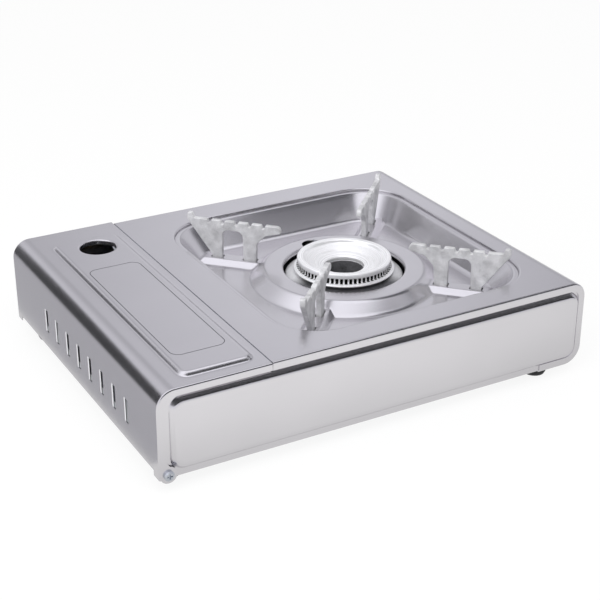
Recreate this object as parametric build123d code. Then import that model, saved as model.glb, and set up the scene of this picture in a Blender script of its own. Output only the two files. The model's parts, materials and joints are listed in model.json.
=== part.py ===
"""Butane cassette stove: a sheet-steel table-top stove with a sunk burner tray and a cartridge bay.

X is the width, with the cartridge bay on the +X side, the user's right. Y is the depth, with the controls
on the -Y side.
Z is up from the table. Pieces are built about the middle of the body, and save() moves them so that the
origin lies under the middle of the whole stove, knob included. All sizes are in millimetres.
"""
import math
import os

from build123d import *

# ---- Sheet body ----
sheet = 0.8                    # thickness of every pressed sheet
body_width = 340.0
body_depth = 269.0             # over the shell's front and rear flanges
top_z = 74.5                   # top plate above the table
shell_bottom_z = 9.2
top_corner_r = 12.0
bottom_corner_r = 14.0
bottom_return = 37.0           # how far the shell wraps under its left side
rim_width = 5.8                # flange left round the end panels
rim_corner_r = 8.0
bay_width = 83.0               # from the cartridge lid's inner edge to its side
seam_gap = 0.4
field_rise = 4.0               # embossed field of the end panels
field_inset = 3.0
field_corner_r = 10.0
field_clearance = 0.3
trim_clearance = 0.3           # between pressed sheets that nest

# ---- Feet ----
foot_r = 9.0
foot_taper = 1.0
foot_bevel_height = 2.0
foot_inset_left_x = 28.0
foot_inset_left_y = 17.5
foot_inset_right_y = 22.5
foot_trough_room = 3.0         # from the trough to the right pair
foot_screw_r = 1.9
foot_screw_head_r = 3.6
foot_screw_head_height = 2.2
foot_screw_depth = 5.0         # reach into the rubber

# ---- Cartridge and its bay ----
cartridge_r = 33.0
cartridge_length = 187.0
cartridge_inset = 47.0         # its axis from the lid's side
cartridge_front_y = -79.0
cartridge_play = 0.4           # under the cartridge at rest
trough_inset = 2.5             # slope of the trough's sides
trough_depth = 4.4
trough_width = 38.0            # holds only the cartridge's underside
trough_end_room = 1.5          # flat floor beyond the cartridge at each end
trough_corner_r = 6.0
trough_floor_corner_r = 3.0
base_lip = 9.0                 # turned-up edge of the base pan
partition_inset = 3.0          # wall's outside, back from the seam
partition_flange = 4.5
partition_foot = 8.0
vent_length = 34.0
vent_width = 4.0
vent_pitch = 12.0
vent_count = 7
stay_width = 16.0
stay_height = 50.0

# ---- Cartridge lid ----
hinge_inset = 6.5              # the hinge's axis from the lid's side
hinge_z = 13.4
ear_r = 6.0
lid_corner_r = 13.5
lid_front_overhang = 3.5
lid_rear_overhang = 0.9
lid_rim = 5.2
lid_side_rim = 4.5
lid_rim_corner_r = 9.0
lid_side_bottom_z = 14.5
lid_ear_length_y = 9.0
plateau_rise = 2.5
plateau_inset = 2.6
plateau_seam_margin = 7.5
plateau_side_margin = 22.5
plateau_y0 = -112.0
plateau_y1 = 125.0
plateau_corner_r = 7.0
finger_hole_offset = 3.3       # from the plateau's middle towards the seam
finger_hole_y = -90.2
finger_hole_r = 13.75
finger_hole_lip = 3.6
slot_count = 8
slot_first_y = -67.0
slot_pitch = 21.6
slot_width = 6.0
slot_z0 = 28.0
slot_height = 18.0
slot_blade_depth = 2.0
stay_slots = (0, 6)            # the slots that have a stay of the base pan behind them
hinge_pin_r = 2.0
hinge_pin_clearance = 0.05
hinge_head_r = 3.6
hinge_head_height = 2.2
hinge_head_edge = 1.4
hinge_spacer_r = 4.5
cross_length = 3.8             # recess in a screw's head
cross_width = 0.9
cross_depth = 1.1
hinge_pin_length = 8.0
hinge_nut_width = 7.0
hinge_nut_height = 3.0
hinge_nut_room = 1.5

# ---- Burner recess, tray and raised ring ----
burner_offset_x = 1.75         # the burner's axis from the recess's middle, to the left
burner_y = 2.5
recess_left_share = 24.5 / 51.5    # of the top plate's width beside the recess
recess_y = 2.25
recess_width = 205.5
recess_depth = 221.5
recess_corner_r = 40.0
recess_step = 2.8              # drop from the top plate to the ledge
ledge_width = 2.5
tray_flange = 3.6
tray_floor_z = 53.3
tray_floor_width = 172.8
tray_floor_depth = 180.8
tray_floor_corner_r = 26.0
tray_wall_growth = 1.1         # the wall's outside, beyond its inside
ring_opening_r = 46.3
ring_flat_r = 61.4
ring_foot_r = 71.4
ring_z = 62.0
ring_lip = 3.0
ring_seam = 1.2                # overlap of the ring's foot and the tray's floor
electrode_notch_r = 8.5
electrode_notch_room = 3.5     # notch's centre beyond the burner's flange
rib_top_z = 57.5
rib_half_width = 5.15
rib_start = 64.0
rib_end = 119.0

# ---- Pan supports, measured along each support from the burner's axis ----
support_thickness = 4.0
support_top_z = 88.0
horn_z = 92.0
horn_inner_s = 121.2
horn_outer_s = 126.4
horn_slope = 0.8               # run of the horn's inner face from its foot to its top
tip_s = 50.4
tip_z = 82.5
tip_corner = ((0.0, 3.2), (1.2, 1.0), (3.6, 0.0))    # the soft corner: in from the tip and down from the top
nose_root_reach = 0.8          # of the nose's foot, inwards of the inner leg
nose_root_z = 72.0
nose_curve = ((66.8, 76.6), (62.6, 79.4))
nose_flat_s = 55.0
nose_flat_drop = 0.5           # below the tip's underside
leg_inner = (70.3, 80.4)
leg_outer = (98.1, 106.3)
arch_top_z = 80.5
arch_corner_r = 5.0
leg_depth = 3.2                # reach of a leg below the rib's top
leg_slot_clearance = 0.85
notch_first_s = 64.3
notch_pitch = 11.0
notch_count = 5
notch_width = 2.6
notch_depth = 2.8

# ---- Burner ----
head_r = 35.8
head_top_z = 70.8
head_seat_z = 60.0
head_wall = 3.7
dish_r = 30.1                  # foot of the small step round the dished top
dish_edge_z = 68.7
dish_step_r = 30.6
dish_step_z = 69.9
dish_rim_r = 31.6
dish_centre_z = 63.3
head_edge = 0.7                # bevel round the top
port_sill = 1.0                # depth of the groove that the ports open into
bead_drops = (0.4, 1.3, 2.4, 3.3)      # of the bead's outline below the ports
bead_reaches = (0.9, 2.2, 2.8, 1.8)    # of the same points beyond the head's side
head_foot_inset = 0.7
cavity_top_z = 66.0
cavity_low_z = 61.6
cavity_inner_r = 18.2
port_count = 64
port_width = 1.7
port_z0 = 63.6
port_height = 3.6
centre_hole_r = 15.3
bowl_r = 34.0
bowl_wall = 2.5
bowl_bottom_z = 32.0
bowl_foot_r = 20.0
boss_wall = 2.0
boss_reach = 6.0               # inlet boss beyond the bowl
burner_flange_r = 45.0
burner_flange_z = 56.5
burner_flange_thickness = 1.5
burner_flange_rise = 3.2       # of its cone, from its edge to the head
bracket_z = 29.0
bracket_half_length = 38.0
bracket_half_width = 26.0
bracket_foot = 12.0
bracket_screw_inset = 8.0
screw_r = 1.6                  # small screws in the base
screw_head_r = 3.0
screw_head_height = 1.8

# ---- Gas line ----
gas_z = 42.0
tube_r = 9.5
tube_wall = 1.5
tube_jet_gap = 23.3            # from the tube's inlet end to the jet's holder
collar_r = 12.5
collar_length = 10.0
collar_overhang = 3.0
jet_inset = 11.0               # the jet's holder from the seam
jet_y = -97.0
jet_holder_size = 12.0
jet_r = 4.0
jet_bore_r = 0.8
jet_length = 12.0
pipe_r = 2.5
partition_port_r = 8.0
clip_back = 22.0               # clip's middle behind the tube's inlet end
clip_half_length = 4.0
clip_wall = 1.2
clip_top = 0.7                 # over the tube, just under the tray
clip_foot = 8.0

# ---- Regulator and valve ----
regulator_size = (36.0, 26.0, 36.0)
regulator_cap_r = 12.5
regulator_cap_height = 6.0
bracket_plate_half_width = 26.0
bracket_plate_z1 = 66.0
regulator_plate_y = -86.0
regulator_foot = 22.0
bracket_sheet = 1.2
seat_r = 17.0
seat_hole_r = 12.0
seat_length = 4.5
seat_key_width = 4.0
inlet_pin_r = 4.0
inlet_pin_length = 5.0
inlet_bore_r = 1.0
seal_width = 3.5
seal_length = 2.5
valve_axis_z = 40.0
valve_r = 11.0
valve_front_y = -125.5
stem_r = 3.0
stem_clearance = 0.05
stem_in_knob = 13.5
valve_bore_end = 4.0           # bore's end in front of the regulator
bush_r = 6.0
bush_length = 3.0
bush_flange = 2.0
cam_front_y = -130.0
cam_rear_y = -126.0
cam_r_rest = 8.0
cam_rise = 4.0
cam_sweep = 120.0              # degrees of knob travel that lift the plunger
knob_r = 21.0
knob_length = 17.5
knob_gap = 0.6
knob_grip_width = 9.0
knob_grip_depth = 10.0
knob_edge = 3.0
knob_shoulder = 2.2
pointer_width = 1.2
pointer_length = 5.5
pointer_depth = 0.8

# ---- Igniter ----
igniter_size = (13.0, 12.0, 14.0)
igniter_z0 = 11.5
plunger_r = 2.2
plunger_gap = 0.3
plunger_sunk = 6.5
plunger_clearance = 0.08
igniter_ear = 5.0
igniter_ear_height = 1.5
lead_r = 1.3
lead_z = 13.4
lead_exit_rise = 1.2
lead_first_run = 24.0          # straight beyond the partition
lead_turn_x = 54.5             # its next two corners from the burner's axis
lead_bend_x = 14.5
lead_turn_y = 16.5             # the corner's place behind the casing's front
lead_bend_back = 46.0          # the bend's place in front of the electrode
lead_end_back = 22.0
lead_end_rise = 3.0
lead_bend_r = 30.0
lead_middle_r = 40.0
lead_last_r = 25.0
lead_floor_r = 14.0
lead_up_r = 6.5
igniter_offset_y = 3.0         # piezo body's middle behind its plunger
insulator_r = 3.0
insulator_z0 = 34.0
insulator_z1 = 58.0
electrode_r = 0.8
electrode_bend_r = 2.5
electrode_tip_z = 66.0
electrode_spark_gap = 2.4      # tip to the burner's head
electrode_strap_width = 9.0
electrode_strap = 1.2

# ---- Cartridge lock ----
lever_pivot_inset = 18.5       # behind the casing's front
lever_pivot_z = 40.0
lever_thickness = 1.6
lever_gap = 0.8                # from the partition to the lever
lever_rest_angle = -18.0       # handle raised
lever_throw = 36.0
lever_handle_out = 17.5         # beyond the casing's front
lever_arm_reach = 15.0
lever_arm_half_height = 4.0
lever_pivot_r = 2.5
lever_pin_r = 2.0
lever_pivot_clearance = 0.05
lever_side_play = 0.1
lever_slot_room = 1.0
lever_slot_end_room = 3.0
lever_rivet_head = 1.5
lever_rivet_height = 1.2
grip_size = (11.0, 12.0, 9.0)
grip_wall = 2.0
rod_gap = 0.4
rod_thickness = 1.6
rod_half_height = 4.0
rod_nose = 4.0                 # in front of the lever's pivot
pusher_thickness = 1.6
pusher_gap = 1.0
pusher_corner_r = 4.0
pin_gap = 0.3
pusher_half_width = 33.0
pusher_screw_gap = 0.6         # over the heads of the feet's screws
pusher_z1 = 62.0
spring_r = 6.0
spring_wire_r = 0.7
spring_turns = 5
guide_ys = (-60.0, 60.0)
guide_width = 10.0
guide_wall = 3.0
guide_gap = 0.3

# ---- Derived places ----
half_width = body_width / 2
seam_x = half_width - bay_width
cartridge_x = half_width - cartridge_inset
hinge_x = half_width - hinge_inset
plateau_x0 = seam_x + plateau_seam_margin
plateau_x1 = half_width - plateau_side_margin
finger_hole_x = (plateau_x0 + plateau_x1) / 2 - finger_hole_offset
recess_left = (body_width - bay_width - recess_width) * recess_left_share
recess_x = recess_left + recess_width / 2 - half_width
burner_x = recess_x - burner_offset_x
half_depth = body_depth / 2
panel_outer_y = half_depth - sheet
panel_inner_y = half_depth - 2 * sheet
front_reach = half_depth + field_rise - sheet + knob_gap + knob_length
rear_reach = half_depth + field_rise - sheet
origin_shift_y = (front_reach - rear_reach) / 2
base_z0 = shell_bottom_z + sheet
base_z1 = base_z0 + sheet
partition_x0 = seam_x - partition_inset
partition_x1 = partition_x0 + sheet
field_x0 = -half_width + rim_width + field_clearance
field_x1 = hinge_x - 2.1
field_z0 = shell_bottom_z + rim_width + field_clearance
field_z1 = top_z - rim_width - field_clearance
field_mid_x = (field_x0 + field_x1) / 2
field_mid_z = (field_z0 + field_z1) / 2
field_width = field_x1 - field_x0
field_height = field_z1 - field_z0
ledge_z = top_z - recess_step
tray_top_z = ledge_z + sheet
tray_rim_width = recess_width - 2 * (tray_flange + trim_clearance)
tray_rim_depth = recess_depth - 2 * (tray_flange + trim_clearance)
support_angle = math.degrees(math.atan2(tray_floor_depth, tray_floor_width))
trough_length = cartridge_length + 2 * (trough_end_room + trough_inset)
trough_mid_y = cartridge_front_y + cartridge_length / 2
trough_top_z = base_z1 - trough_depth
right_foot_x = cartridge_x + trough_width / 2 + foot_trough_room + foot_r
pusher_z0 = base_z1 + foot_screw_head_height + pusher_screw_gap
cartridge_z = trough_top_z + cartridge_play + cartridge_r
seat_z = cartridge_z
pusher_y0 = cartridge_front_y + cartridge_length + pusher_gap
pusher_y1 = pusher_y0 + pusher_thickness
lever_pivot_y = lever_pivot_inset - half_depth
lever_handle_reach = lever_pivot_inset + lever_handle_out
rod_front_y = lever_pivot_y - rod_nose
lever_x0 = partition_x1 + lever_gap
lever_x1 = lever_x0 + lever_thickness
rod_x0 = lever_x1 + rod_gap
rod_x1 = rod_x0 + rod_thickness
rod_z = lever_pivot_z + lever_arm_reach
base_edge_x = hinge_x - hinge_pin_r - 0.6
jet_x = seam_x - jet_inset
tube_line = Vector(jet_x - burner_x, jet_y - burner_y, 0)
tube_direction = tube_line.normalized()
tube_start = tube_line.length - tube_jet_gap   # inlet end from the burner's axis
pusher_x1 = cartridge_x + pusher_half_width
bracket_plate_x0 = cartridge_x - bracket_plate_half_width
bracket_plate_x1 = cartridge_x + bracket_plate_half_width
electrode_notch_reach = burner_flange_r + electrode_notch_room
electrode_tip_reach = head_r + electrode_spark_gap
regulator_front_y = regulator_plate_y - regulator_size[1]
electrode_y = burner_y - electrode_notch_reach
eps = 1.0                      # overshoot of a cutting tool past the face that it cuts

os.makedirs("parts", exist_ok=True)


# ---- Shapes that many pieces share ----
def block(x0, x1, y0, y1, z0, z1):
    """A box between two corners."""
    size = Box(x1 - x0, y1 - y0, z1 - z0, align=(Align.MIN, Align.MIN, Align.MIN))
    return Location((x0, y0, z0)) * size


def rod(radius, start, end):
    """A round bar from one point to another."""
    line = Vector(*end) - Vector(*start)
    bar = Cylinder(radius, line.length, align=(Align.CENTER, Align.CENTER, Align.MIN))
    return Plane(origin=start, z_dir=line) * bar


def turned(profile):
    """A solid turned about the Z axis from a closed outline of (radius, height) points."""
    outline = Polyline(*[(r, 0, z) for r, z in profile], close=True)
    return revolve(make_face(outline), Axis.Z)


def flat_frustum(x, y, z0, z1, low, high):
    """A solid between two level rounded rectangles, each (width, depth, corner radius)."""
    faces = [Location((x, y, z)) * RectangleRounded(w, d, r) for z, (w, d, r) in ((z0, low), (z1, high))]
    return loft(faces, ruled=True)


def upright_frustum(x, z, y0, y1, back, face):
    """A solid between two upright rounded rectangles, each (width, height, corner radius)."""
    faces = []
    for y, (w, h, r) in ((y0, back), (y1, face)):
        plane = Plane(origin=(x, y, z), x_dir=(1, 0, 0), z_dir=(0, 1, 0))
        faces.append(plane * RectangleRounded(w, h, r))
    return loft(faces, ruled=True)


def along_y(solid, x, z):
    """The edges of a solid that run along Y near a given x and z."""
    edges = solid.edges().filter_by(Axis.Y)
    return edges.filter_by(lambda e: abs(e.center().X - x) < 0.01 and abs(e.center().Z - z) < 0.01)


def save(name, shape):
    """Writes one piece in the stove's own frame."""
    export_step(shape.moved(Location((0, origin_shift_y, 0))), f"parts/{name}.step")


def at_burner(shape):
    """Moves a piece that was made about the Z axis to the burner's axis."""
    return Location((burner_x, burner_y, 0)) * shape


# ---- Casing ----
def shell_block(inset):
    """The casing's outside as a block with its two left corners rounded, shrunk by an inset."""
    x0 = -half_width + inset
    z0 = shell_bottom_z + inset
    z1 = top_z - inset
    solid = block(x0, seam_x, -half_depth + inset, half_depth - inset, z0, z1)
    solid = fillet(along_y(solid, x0, z1), top_corner_r - inset)
    return fillet(along_y(solid, x0, z0), bottom_corner_r - inset)


def main_shell():
    """Top plate, left side and bottom return in one sheet, with flanges round both end panels."""
    shell = shell_block(0) - shell_block(sheet)
    shell -= block(seam_x - sheet, seam_x + eps, -panel_outer_y, panel_outer_y, base_z0, top_z - sheet)
    window_x0 = -half_width + rim_width
    window_z0 = shell_bottom_z + rim_width
    window_z1 = top_z - rim_width
    window = block(window_x0, seam_x + eps, -half_depth - eps, half_depth + eps, window_z0, window_z1)
    for z in (window_z0, window_z1):
        window = fillet(along_y(window, window_x0, z), rim_corner_r)
    shell -= window
    end_of_return = -half_width + bottom_return
    shell -= block(end_of_return, seam_x + eps, -half_depth - eps, half_depth + eps, 0, window_z0 + eps)
    opening = (recess_width, recess_depth, recess_corner_r)
    step = (recess_width + 2 * sheet, recess_depth + 2 * sheet, recess_corner_r + sheet)
    hole = (recess_width - 2 * ledge_width, recess_depth - 2 * ledge_width, recess_corner_r - ledge_width)
    for x, y in foot_places():
        shell -= rod(foot_screw_r, (x, y, 0), (x, y, base_z1))
    shell += flat_frustum(recess_x, recess_y, ledge_z - sheet, top_z, step, step)
    shell -= flat_frustum(recess_x, recess_y, ledge_z, top_z + eps, opening, opening)
    return shell - flat_frustum(recess_x, recess_y, ledge_z - eps, ledge_z + eps, hole, hole)


def end_panel():
    """The rear panel: a flat edge behind the flanges and an embossed field that stands proud."""
    x0 = -half_width + sheet + trim_clearance
    x1 = hinge_x + 3.0
    z0 = base_z0 + trim_clearance
    z1 = top_z - sheet - trim_clearance
    plate = block(x0, x1, panel_inner_y, panel_outer_y, z0, z1)
    plate = fillet(along_y(plate, x0, z1), top_corner_r)
    plate = fillet(along_y(plate, x0, z0), bottom_corner_r)
    plate = fillet(along_y(plate, x1, z1), lid_corner_r)
    base = (field_width, field_height, field_corner_r)
    face = (field_width - 2 * field_inset, field_height - 2 * field_inset, field_corner_r - field_inset)
    thin_base = tuple(v - sheet for v in base)
    thin_face = tuple(v - sheet for v in face)
    outside = upright_frustum(field_mid_x, field_mid_z, panel_outer_y, panel_outer_y + field_rise, base, face)
    inside = upright_frustum(field_mid_x, field_mid_z, panel_inner_y, panel_inner_y + field_rise,
                             thin_base, thin_face)
    panel = plate + outside - inside
    return panel - rod(hinge_pin_r, (hinge_x, panel_inner_y - eps, hinge_z), (hinge_x, half_depth, hinge_z))


def front_panel():
    """The mirrored end panel with the knob's hole and the lever's slot."""
    panel = mirror(end_panel(), Plane.XZ)
    y0 = -half_depth - field_rise - eps
    y1 = -panel_inner_y + eps
    panel -= rod(bush_r, (cartridge_x, y0, valve_axis_z), (cartridge_x, y1, valve_axis_z))
    swing = (half_depth + field_rise + lever_pivot_y) * math.sin(math.radians(lever_throw / 2))
    half_slot = swing + lever_arm_half_height + lever_slot_end_room
    slot_x0 = lever_x0 - lever_slot_room
    slot_x1 = lever_x1 + lever_slot_room
    return panel - block(slot_x0, slot_x1, y0, y1, lever_pivot_z - half_slot, lever_pivot_z + half_slot)


def base_pan():
    """The floor, with turned-up edges, a trough for the cartridge, air vents and two stays."""
    x0 = -half_width + bottom_corner_r + 1.0
    y1 = panel_inner_y
    pan = block(x0, base_edge_x, -y1, y1, base_z0, base_z1)
    for edge_y in (-y1, y1 - sheet):
        pan += block(x0, base_edge_x, edge_y, edge_y + sheet, base_z0, base_z0 + base_lip)
    pan += block(base_edge_x - sheet, base_edge_x, -y1, y1, base_z0, base_z0 + base_lip)
    for index in stay_slots:
        y = slot_first_y + index * slot_pitch
        pan += block(base_edge_x - sheet, base_edge_x, y - stay_width / 2, y + stay_width / 2,
                     base_z0, base_z0 + stay_height)
    mouth = (trough_width, trough_length, trough_corner_r)
    floor = (trough_width - 2 * trough_inset, trough_length - 2 * trough_inset, trough_floor_corner_r)
    around_mouth = tuple(v + sheet for v in mouth)
    under_floor = tuple(v + sheet for v in floor)
    pan += flat_frustum(cartridge_x, trough_mid_y, trough_top_z - sheet, base_z0, under_floor, around_mouth)
    pan -= flat_frustum(cartridge_x, trough_mid_y, trough_top_z, base_z1, floor, mouth)
    for index in range(vent_count):
        x = burner_x + (index - (vent_count - 1) / 2) * vent_pitch
        for side in (-1, 1):
            y = burner_y + side * (bracket_half_width + vent_length)
            pan -= block(x - vent_width / 2, x + vent_width / 2, y - vent_length / 2, y + vent_length / 2,
                         base_z0 - eps, base_z1 + eps)
    for fx, fy in foot_places():
        pan -= rod(foot_screw_r, (fx, fy, base_z0 - eps), (fx, fy, base_z1 + eps))
    corner = hinge_nut_width / 2 + hinge_nut_room
    for y0, y1 in ((-half_depth, -panel_inner_y + corner), (panel_inner_y - corner, half_depth)):
        pan -= block(hinge_x - corner, hinge_x, y0, y1, base_z1, top_z)
    return pan


def partition():
    """The heat shield between the burner and the cartridge, with a flange under the lid's edge."""
    y1 = panel_inner_y - sheet
    wall = block(partition_x0, partition_x1, -y1, y1, base_z1, top_z - sheet)
    wall += block(partition_x0, partition_x1 + partition_flange, -y1, y1, top_z - 2 * sheet, top_z - sheet)
    wall += block(partition_x0 - partition_foot, partition_x1, -y1, y1, base_z1, base_z1 + sheet)
    wall -= rod(partition_port_r, (partition_x0 - eps, jet_y, gas_z), (partition_x1 + eps, jet_y, gas_z))
    y, z = cam_mid_y() + igniter_offset_y, lead_z + lead_exit_rise
    return wall - rod(2 * lead_r, (partition_x0 - eps, y, z), (partition_x1 + eps, y, z))


def foot_places():
    """Centres of the four feet: left pair under the shell's return, right pair under the base pan."""
    left_foot_x = -half_width + foot_inset_left_x
    left_y = half_depth - foot_inset_left_y
    right_y = half_depth - foot_inset_right_y
    left_pair = [(left_foot_x, -left_y), (left_foot_x, left_y)]
    return left_pair + [(right_foot_x, -right_y), (right_foot_x, right_y)]


def foot(x, y):
    """A tapered rubber foot with a hole for its screw."""
    height = shell_bottom_z if x < 0 else base_z0
    body = turned([(0, 0), (foot_r - foot_taper, 0), (foot_r, foot_bevel_height), (foot_r, height),
                   (0, height)])
    hole = rod(foot_screw_r, (0, 0, height - foot_screw_depth), (0, 0, height + eps))
    return Location((x, y, 0)) * (body - hole)


def foot_screw(x, y):
    """A round-head screw down through the base into a foot."""
    height = shell_bottom_z if x < 0 else base_z0
    head = rod(foot_screw_head_r, (x, y, base_z1), (x, y, base_z1 + foot_screw_head_height))
    return head + rod(foot_screw_r, (x, y, height - foot_screw_depth), (x, y, base_z1))


# ---- Cartridge lid ----
def lid_block(inset, front, rear):
    """The lid's outside as a block with its outer top corner rounded, shrunk by an inset."""
    x1 = half_width - inset
    z1 = top_z - inset
    solid = block(seam_x + seam_gap, x1, -half_depth - front + inset, half_depth + rear - inset,
                  hinge_z - ear_r, z1)
    return fillet(along_y(solid, x1, z1), lid_corner_r - inset)


def cartridge_lid():
    """One pressed cover for the top and side of the bay, with end strips that run down to two ears."""
    y0 = -half_depth - lid_front_overhang
    y1 = half_depth + lid_rear_overhang
    lid = lid_block(0, lid_front_overhang, lid_rear_overhang)
    inner = lid_block(sheet, lid_front_overhang, lid_rear_overhang)
    lid -= inner
    open_x0 = seam_x + seam_gap - eps
    lid -= block(open_x0, half_width - sheet, y0 + sheet, y1 - sheet, 0, lid_side_bottom_z)
    window_x1 = half_width - lid_side_rim
    window = block(open_x0, window_x1, y0 - eps, y1 + eps, 0, top_z - lid_rim)
    window = fillet(along_y(window, window_x1, top_z - lid_rim), lid_rim_corner_r)
    lid -= window
    side_cut_y0 = y0 + lid_ear_length_y
    side_cut_y1 = y1 - lid_ear_length_y
    lid -= block(half_width - lid_corner_r, half_width + eps, side_cut_y0, side_cut_y1, 0, lid_side_bottom_z)
    lid -= block(half_width - lid_corner_r, half_width + eps, y0 - eps, y1 + eps, 0, hinge_z - ear_r / 2)
    for a, b in ((y0, y0 + sheet), (y1 - sheet, y1)):
        ear = rod(ear_r, (hinge_x, a, hinge_z), (hinge_x, b, hinge_z))
        ear += block(hinge_x, half_width - sheet, a, b, hinge_z, hinge_z + 2 * ear_r)
        hole_r = hinge_pin_r + hinge_pin_clearance
        lid = lid + ear - rod(hole_r, (hinge_x, a - eps, hinge_z), (hinge_x, b + eps, hinge_z))
    return cut_slots(raise_plateau(lid))


def raise_plateau(lid):
    """The raised field on the lid's top, with the turned-down finger hole in it."""
    x = (plateau_x0 + plateau_x1) / 2
    y = (plateau_y0 + plateau_y1) / 2
    width = plateau_x1 - plateau_x0
    depth = plateau_y1 - plateau_y0
    top = (width - 2 * plateau_inset, depth - 2 * plateau_inset, plateau_corner_r - plateau_inset)
    lid += flat_frustum(x, y, top_z, top_z + plateau_rise, (width, depth, plateau_corner_r), top)
    thin_base = (width - sheet, depth - sheet, plateau_corner_r - sheet / 2)
    thin_top = tuple(v - sheet for v in top)
    lid -= flat_frustum(x, y, top_z - sheet, top_z + plateau_rise - sheet, thin_base, thin_top)
    top_face_z = top_z + plateau_rise
    place = (finger_hole_x, finger_hole_y)
    lid += rod(finger_hole_r + sheet, (*place, top_face_z - finger_hole_lip), (*place, top_face_z))
    return lid - rod(finger_hole_r, (*place, top_z - 2 * finger_hole_lip), (*place, top_face_z + eps))


def cut_slots(lid):
    """Upright louvre slots in the lid's side, each with one half pushed in as a blade."""
    for index in range(slot_count):
        y = slot_first_y + index * slot_pitch
        z1 = slot_z0 + slot_height
        lid -= block(half_width - sheet - eps, half_width + eps, y - slot_width / 2, y + slot_width / 2,
                     slot_z0, z1)
        blade = make_face(Polyline((half_width, y - slot_width / 2, slot_z0),
                                   (half_width - sheet, y - slot_width / 2, slot_z0),
                                   (half_width - sheet - slot_blade_depth, y, slot_z0),
                                   (half_width - slot_blade_depth, y, slot_z0), close=True))
        lid += extrude(blade, amount=slot_height, dir=(0, 0, 1))
    return lid


def hinge_screw(side):
    """A cross-head screw that is the lid's hinge pin at one end; side is -1 at the front, 1 at the rear."""
    overhang = lid_rear_overhang if side > 0 else lid_front_overhang
    seat_y = half_depth + overhang
    head = turned([(0, 0), (hinge_head_r, 0), (hinge_head_r, hinge_head_edge),
                   (hinge_head_r - 1.0, hinge_head_height), (0, hinge_head_height)])
    for angle in (0, 90):
        cross = Box(cross_length, cross_width, 2 * cross_depth)
        head -= Location((0, 0, hinge_head_height), (0, 0, angle)) * cross
    head = Location((hinge_x, side * seat_y, hinge_z), (-side * 90, 0, 0)) * head
    pin_end = side * (seat_y - hinge_pin_length)
    return head + rod(hinge_pin_r, (hinge_x, pin_end, hinge_z), (hinge_x, side * seat_y, hinge_z))


def hinge_spacer(side):
    """A washer that fills the space between an ear and its end panel."""
    overhang = lid_rear_overhang if side > 0 else lid_front_overhang
    y0 = side * panel_outer_y
    y1 = side * (half_depth + overhang - sheet)
    ring = rod(hinge_spacer_r, (hinge_x, y0, hinge_z), (hinge_x, y1, hinge_z))
    return ring - rod(hinge_pin_r, (hinge_x, y0 - side * eps, hinge_z), (hinge_x, y1 + side * eps, hinge_z))


def hinge_nut(side):
    """The six-sided nut behind an end panel that holds a hinge screw."""
    plane = Plane(origin=(hinge_x, side * panel_inner_y, hinge_z), z_dir=(0, -side, 0))
    nut = extrude(plane * RegularPolygon(hinge_nut_width / 2, 6, major_radius=False), amount=hinge_nut_height)
    bore_end = side * (panel_inner_y - hinge_nut_height - eps)
    return nut - rod(hinge_pin_r, (hinge_x, side * half_depth, hinge_z), (hinge_x, bore_end, hinge_z))


# ---- Drip tray and pan supports ----
def along_support(number, shape):
    """Turns a piece made in the XZ plane, X being the distance from the burner, onto support 1 to 4."""
    angle = (-support_angle, support_angle - 180, 180 - support_angle, support_angle)[number - 1]
    return Location((burner_x, burner_y, 0), (0, 0, angle)) * shape


def tray_bowl(grow, drop):
    """The space inside the tray's sloped walls, or with grow and drop, the outside of those walls."""
    floor = (tray_floor_width + grow, tray_floor_depth + grow, tray_floor_corner_r)
    rim = (tray_rim_width + 2 * grow, tray_rim_depth + 2 * grow, recess_corner_r - tray_flange)
    return flat_frustum(recess_x, recess_y, tray_floor_z - drop, tray_top_z, floor, rim)


def rib(grow_inwards):
    """A straight bevelled ridge along a support; a positive argument gives the hollow under it."""
    top = rib_top_z - grow_inwards
    bottom = tray_floor_z - sheet
    half_top = rib_half_width - 0.4 * grow_inwards
    half_bottom = half_top + top - bottom
    section = make_face(Polyline((rib_start, -half_bottom, bottom), (rib_start, half_bottom, bottom),
                                 (rib_start, half_top, top), (rib_start, -half_top, top), close=True))
    return extrude(section, amount=rib_end - rib_start, dir=(1, 0, 0))


def raised_ring():
    """The ring round the burner: a turned-down lip, a flat and a cone down to the floor, as sheet."""
    outer = [(ring_opening_r, ring_z - ring_lip), (ring_opening_r, ring_z), (ring_flat_r, ring_z),
             (ring_foot_r, tray_floor_z), (ring_foot_r, tray_floor_z - sheet)]
    inner = [(ring_foot_r - ring_seam, tray_floor_z - sheet), (ring_flat_r - 0.5, ring_z - sheet),
             (ring_opening_r + sheet, ring_z - sheet), (ring_opening_r + sheet, ring_z - ring_lip)]
    return at_burner(turned(outer + inner))


def drip_tray():
    """The loose tray: rim flange, sloped walls, floor, raised ring and four slotted ribs."""
    space = tray_bowl(0, 0)
    outside = tray_bowl(tray_wall_growth, sheet)
    flange = (recess_width - 2 * trim_clearance, recess_depth - 2 * trim_clearance,
              recess_corner_r - trim_clearance)
    tray = outside + flat_frustum(recess_x, recess_y, ledge_z, tray_top_z, flange, flange) - space
    tray -= at_burner(rod(ring_foot_r - ring_seam / 2, (0, 0, tray_floor_z - 3), (0, 0, tray_floor_z + eps)))
    tray += raised_ring()
    hollow_space = space.moved(Location((0, 0, -sheet)))
    under_ring = at_burner(rod(ring_foot_r - ring_seam, (0, 0, 0), (0, 0, rib_top_z)))
    for number in range(1, 5):
        ridge = along_support(number, rib(0))
        tray += (ridge & outside) - under_ring
        hollow = along_support(number, rib(sheet)) & hollow_space
        tray -= hollow
        tray -= along_support(number, leg_slots())
    notch = rod(electrode_notch_r, (0, -electrode_notch_reach, ring_z - ring_lip - eps),
                (0, -electrode_notch_reach, ring_z + eps))
    return tray - at_burner(notch)


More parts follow.
